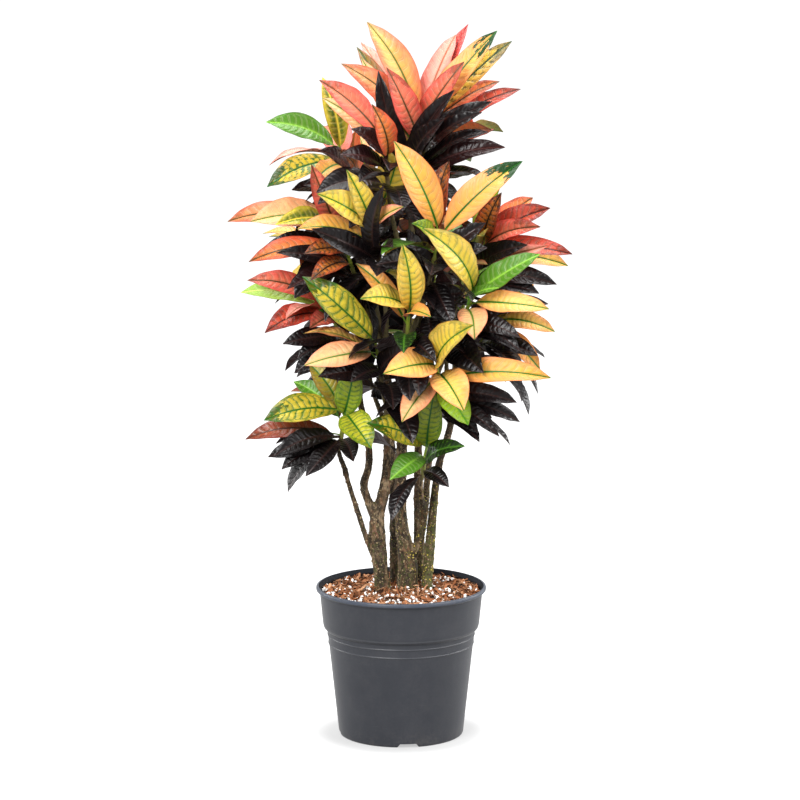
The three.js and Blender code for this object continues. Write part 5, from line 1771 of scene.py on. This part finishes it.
class CROTON_OT_wood(bpy.types.Operator):
    """Grow the trunks and twigs with their bark"""
    bl_idname = "croton.wood"
    bl_label = "Trunks"

    def execute(self, context):
        settings = context.scene.croton_wood
        group = wear_group()
        material = bark_material(settings, group)
        specks = speck_material("Lenticels", (0.03, 0.021, 0.013, 1.0), (0.36, 0.27, 0.15, 1.0))
        lichen = speck_material("Lichen", (0.2, 0.18, 0.02, 1.0), (0.62, 0.5, 0.08, 1.0))
        tree = scatter_tree("Bark Specks")
        draw = drawer(SPECK_SEED)
        for name in TRUNKS:
            trunk = make_trunk(name, settings)
            paint(trunk.data, material)
            finish_piece(trunk, "bark", name)
            for piece in strew_specks(name, trunk.data, tree, specks, lichen, settings, draw):
                finish_piece(piece, "bark")
        return {"FINISHED"}


class CROTON_OT_leaves(bpy.types.Operator):
    """Make every leafy shoot in place of its solid"""
    bl_idname = "croton.leaves"
    bl_label = "Leafy Shoots"

    def execute(self, context):
        settings = context.scene.croton_leaves
        pattern = leaf_pattern()
        finishes = {slot: leaf_material(*skin, pattern, settings.vein_pairs)
                    for slot, skin in LEAF_SKINS.items()}
        faces = blade_faces(settings.rows, settings.columns)
        found = leaves_of_shoots()
        seed = LOOKS_SEED
        for shoot in SHOOTS:
            rows = shoot.get("young")
            kind = rows[0][4] if rows else FILL_KINDS[0]
            bright = ("leaf_green" if kind in GREENS else
                      "leaf_coral" if kind in CORALS else "leaf_yellow")
            for age, slot in zip(AGES, (bright, "leaf_dark")):
                node = f"{shoot['name']}_{age}"
                parts = Parts()
                seed += LOOKS_SEED_STEP
                add_shoot_stem(parts, shoot, age, seed)
                for leaf in found[node]:
                    seed += LOOKS_SEED_STEP
                    add_leaf(parts, leaf, seed, settings, faces)
                piece = add_piece(f"{node}_leaves", parts.mesh(f"{node}_leaves"), finishes[slot])
                finish_piece(piece, slot, node)
        return {"FINISHED"}


class CROTON_OT_stage(bpy.types.Operator):
    """Set the floor, the light and the camera of the photograph"""
    bl_idname = "croton.stage"
    bl_label = "Studio"

    def execute(self, context):
        settings = context.scene.croton_stage
        scene = context.scene
        scene.view_settings.view_transform = "Standard"
        make_floor(settings)
        scene.world = make_world(settings)
        for name, place, size, share in LAMPS:
            lamp = bpy.data.lights.new(name, "AREA")
            lamp.shape, lamp.size, lamp.energy = "DISK", size, settings.key * share
            holder = bpy.data.objects.new(name, lamp)
            scene.collection.objects.link(holder)
            holder.location = place
            aim = Vector(LAMPS_AIM) - Vector(place)
            holder.rotation_euler = aim.to_track_quat("-Z", "Y").to_euler()
        lens = bpy.data.cameras.new("photo_camera")
        lens.lens, lens.sensor_width, lens.shift_x = settings.lens, SENSOR, settings.shift
        lens.clip_end = CAMERA_REACH
        camera = bpy.data.objects.new("photo_camera", lens)
        scene.collection.objects.link(camera)
        camera.location = (0, -settings.distance, settings.height)
        camera.rotation_euler = (math.pi / 2 - settings.pitch, 0, 0)
        scene.camera = camera
        return {"FINISHED"}


class CROTON_PT_panel(bpy.types.Panel):
    """The croton's pieces and their sizes"""
    bl_label = "Potted Croton"
    bl_idname = "CROTON_PT_panel"
    bl_space_type = "VIEW_3D"
    bl_region_type = "UI"
    bl_category = "Croton"

    def draw(self, context):
        for made, held, names in PANEL_ROWS:
            box = self.layout.box()
            box.operator(made)
            for name in names:
                box.prop(getattr(context.scene, held), name)


PANEL_ROWS = (
    ("croton.stage", "croton_stage", ("distance", "height", "pitch", "lens", "shift", "sky",
                                       "key", "fill", "floor")),
    ("croton.pot", "croton_pot", ("sides", "colour", "rim_highlight_colour")),
    ("croton.mix", "croton_mix", ("seed", "chips", "splinters", "fibres", "perlite")),
    ("croton.wood", "croton_wood", ("skin", "relief", "lenticels", "bark_colour", "crack_colour")),
    ("croton.leaves", "croton_leaves", ("thickness", "wave", "rows", "columns", "vein_pairs")),
)
SETTINGS = (("croton_stage", CrotonStageSettings), ("croton_pot", CrotonPotSettings),
            ("croton_mix", CrotonMixSettings), ("croton_wood", CrotonWoodSettings),
            ("croton_leaves", CrotonLeafSettings))
OPERATORS = (CROTON_OT_stage, CROTON_OT_pot, CROTON_OT_mix, CROTON_OT_wood, CROTON_OT_leaves)


def register():
    for name, settings in SETTINGS:
        bpy.utils.register_class(settings)
        setattr(bpy.types.Scene, name, PointerProperty(type=settings))
    for operator in OPERATORS:
        bpy.utils.register_class(operator)
    bpy.utils.register_class(CROTON_PT_panel)


def unregister():
    bpy.utils.unregister_class(CROTON_PT_panel)
    for operator in reversed(OPERATORS):
        bpy.utils.unregister_class(operator)
    for name, settings in reversed(SETTINGS):
        delattr(bpy.types.Scene, name)
        bpy.utils.unregister_class(settings)


def main():
    register()
    bpy.ops.croton.stage()
    bpy.ops.croton.pot()
    bpy.ops.croton.mix()
    bpy.ops.croton.wood()
    bpy.ops.croton.leaves()


if __name__ == "__main__":
    main()
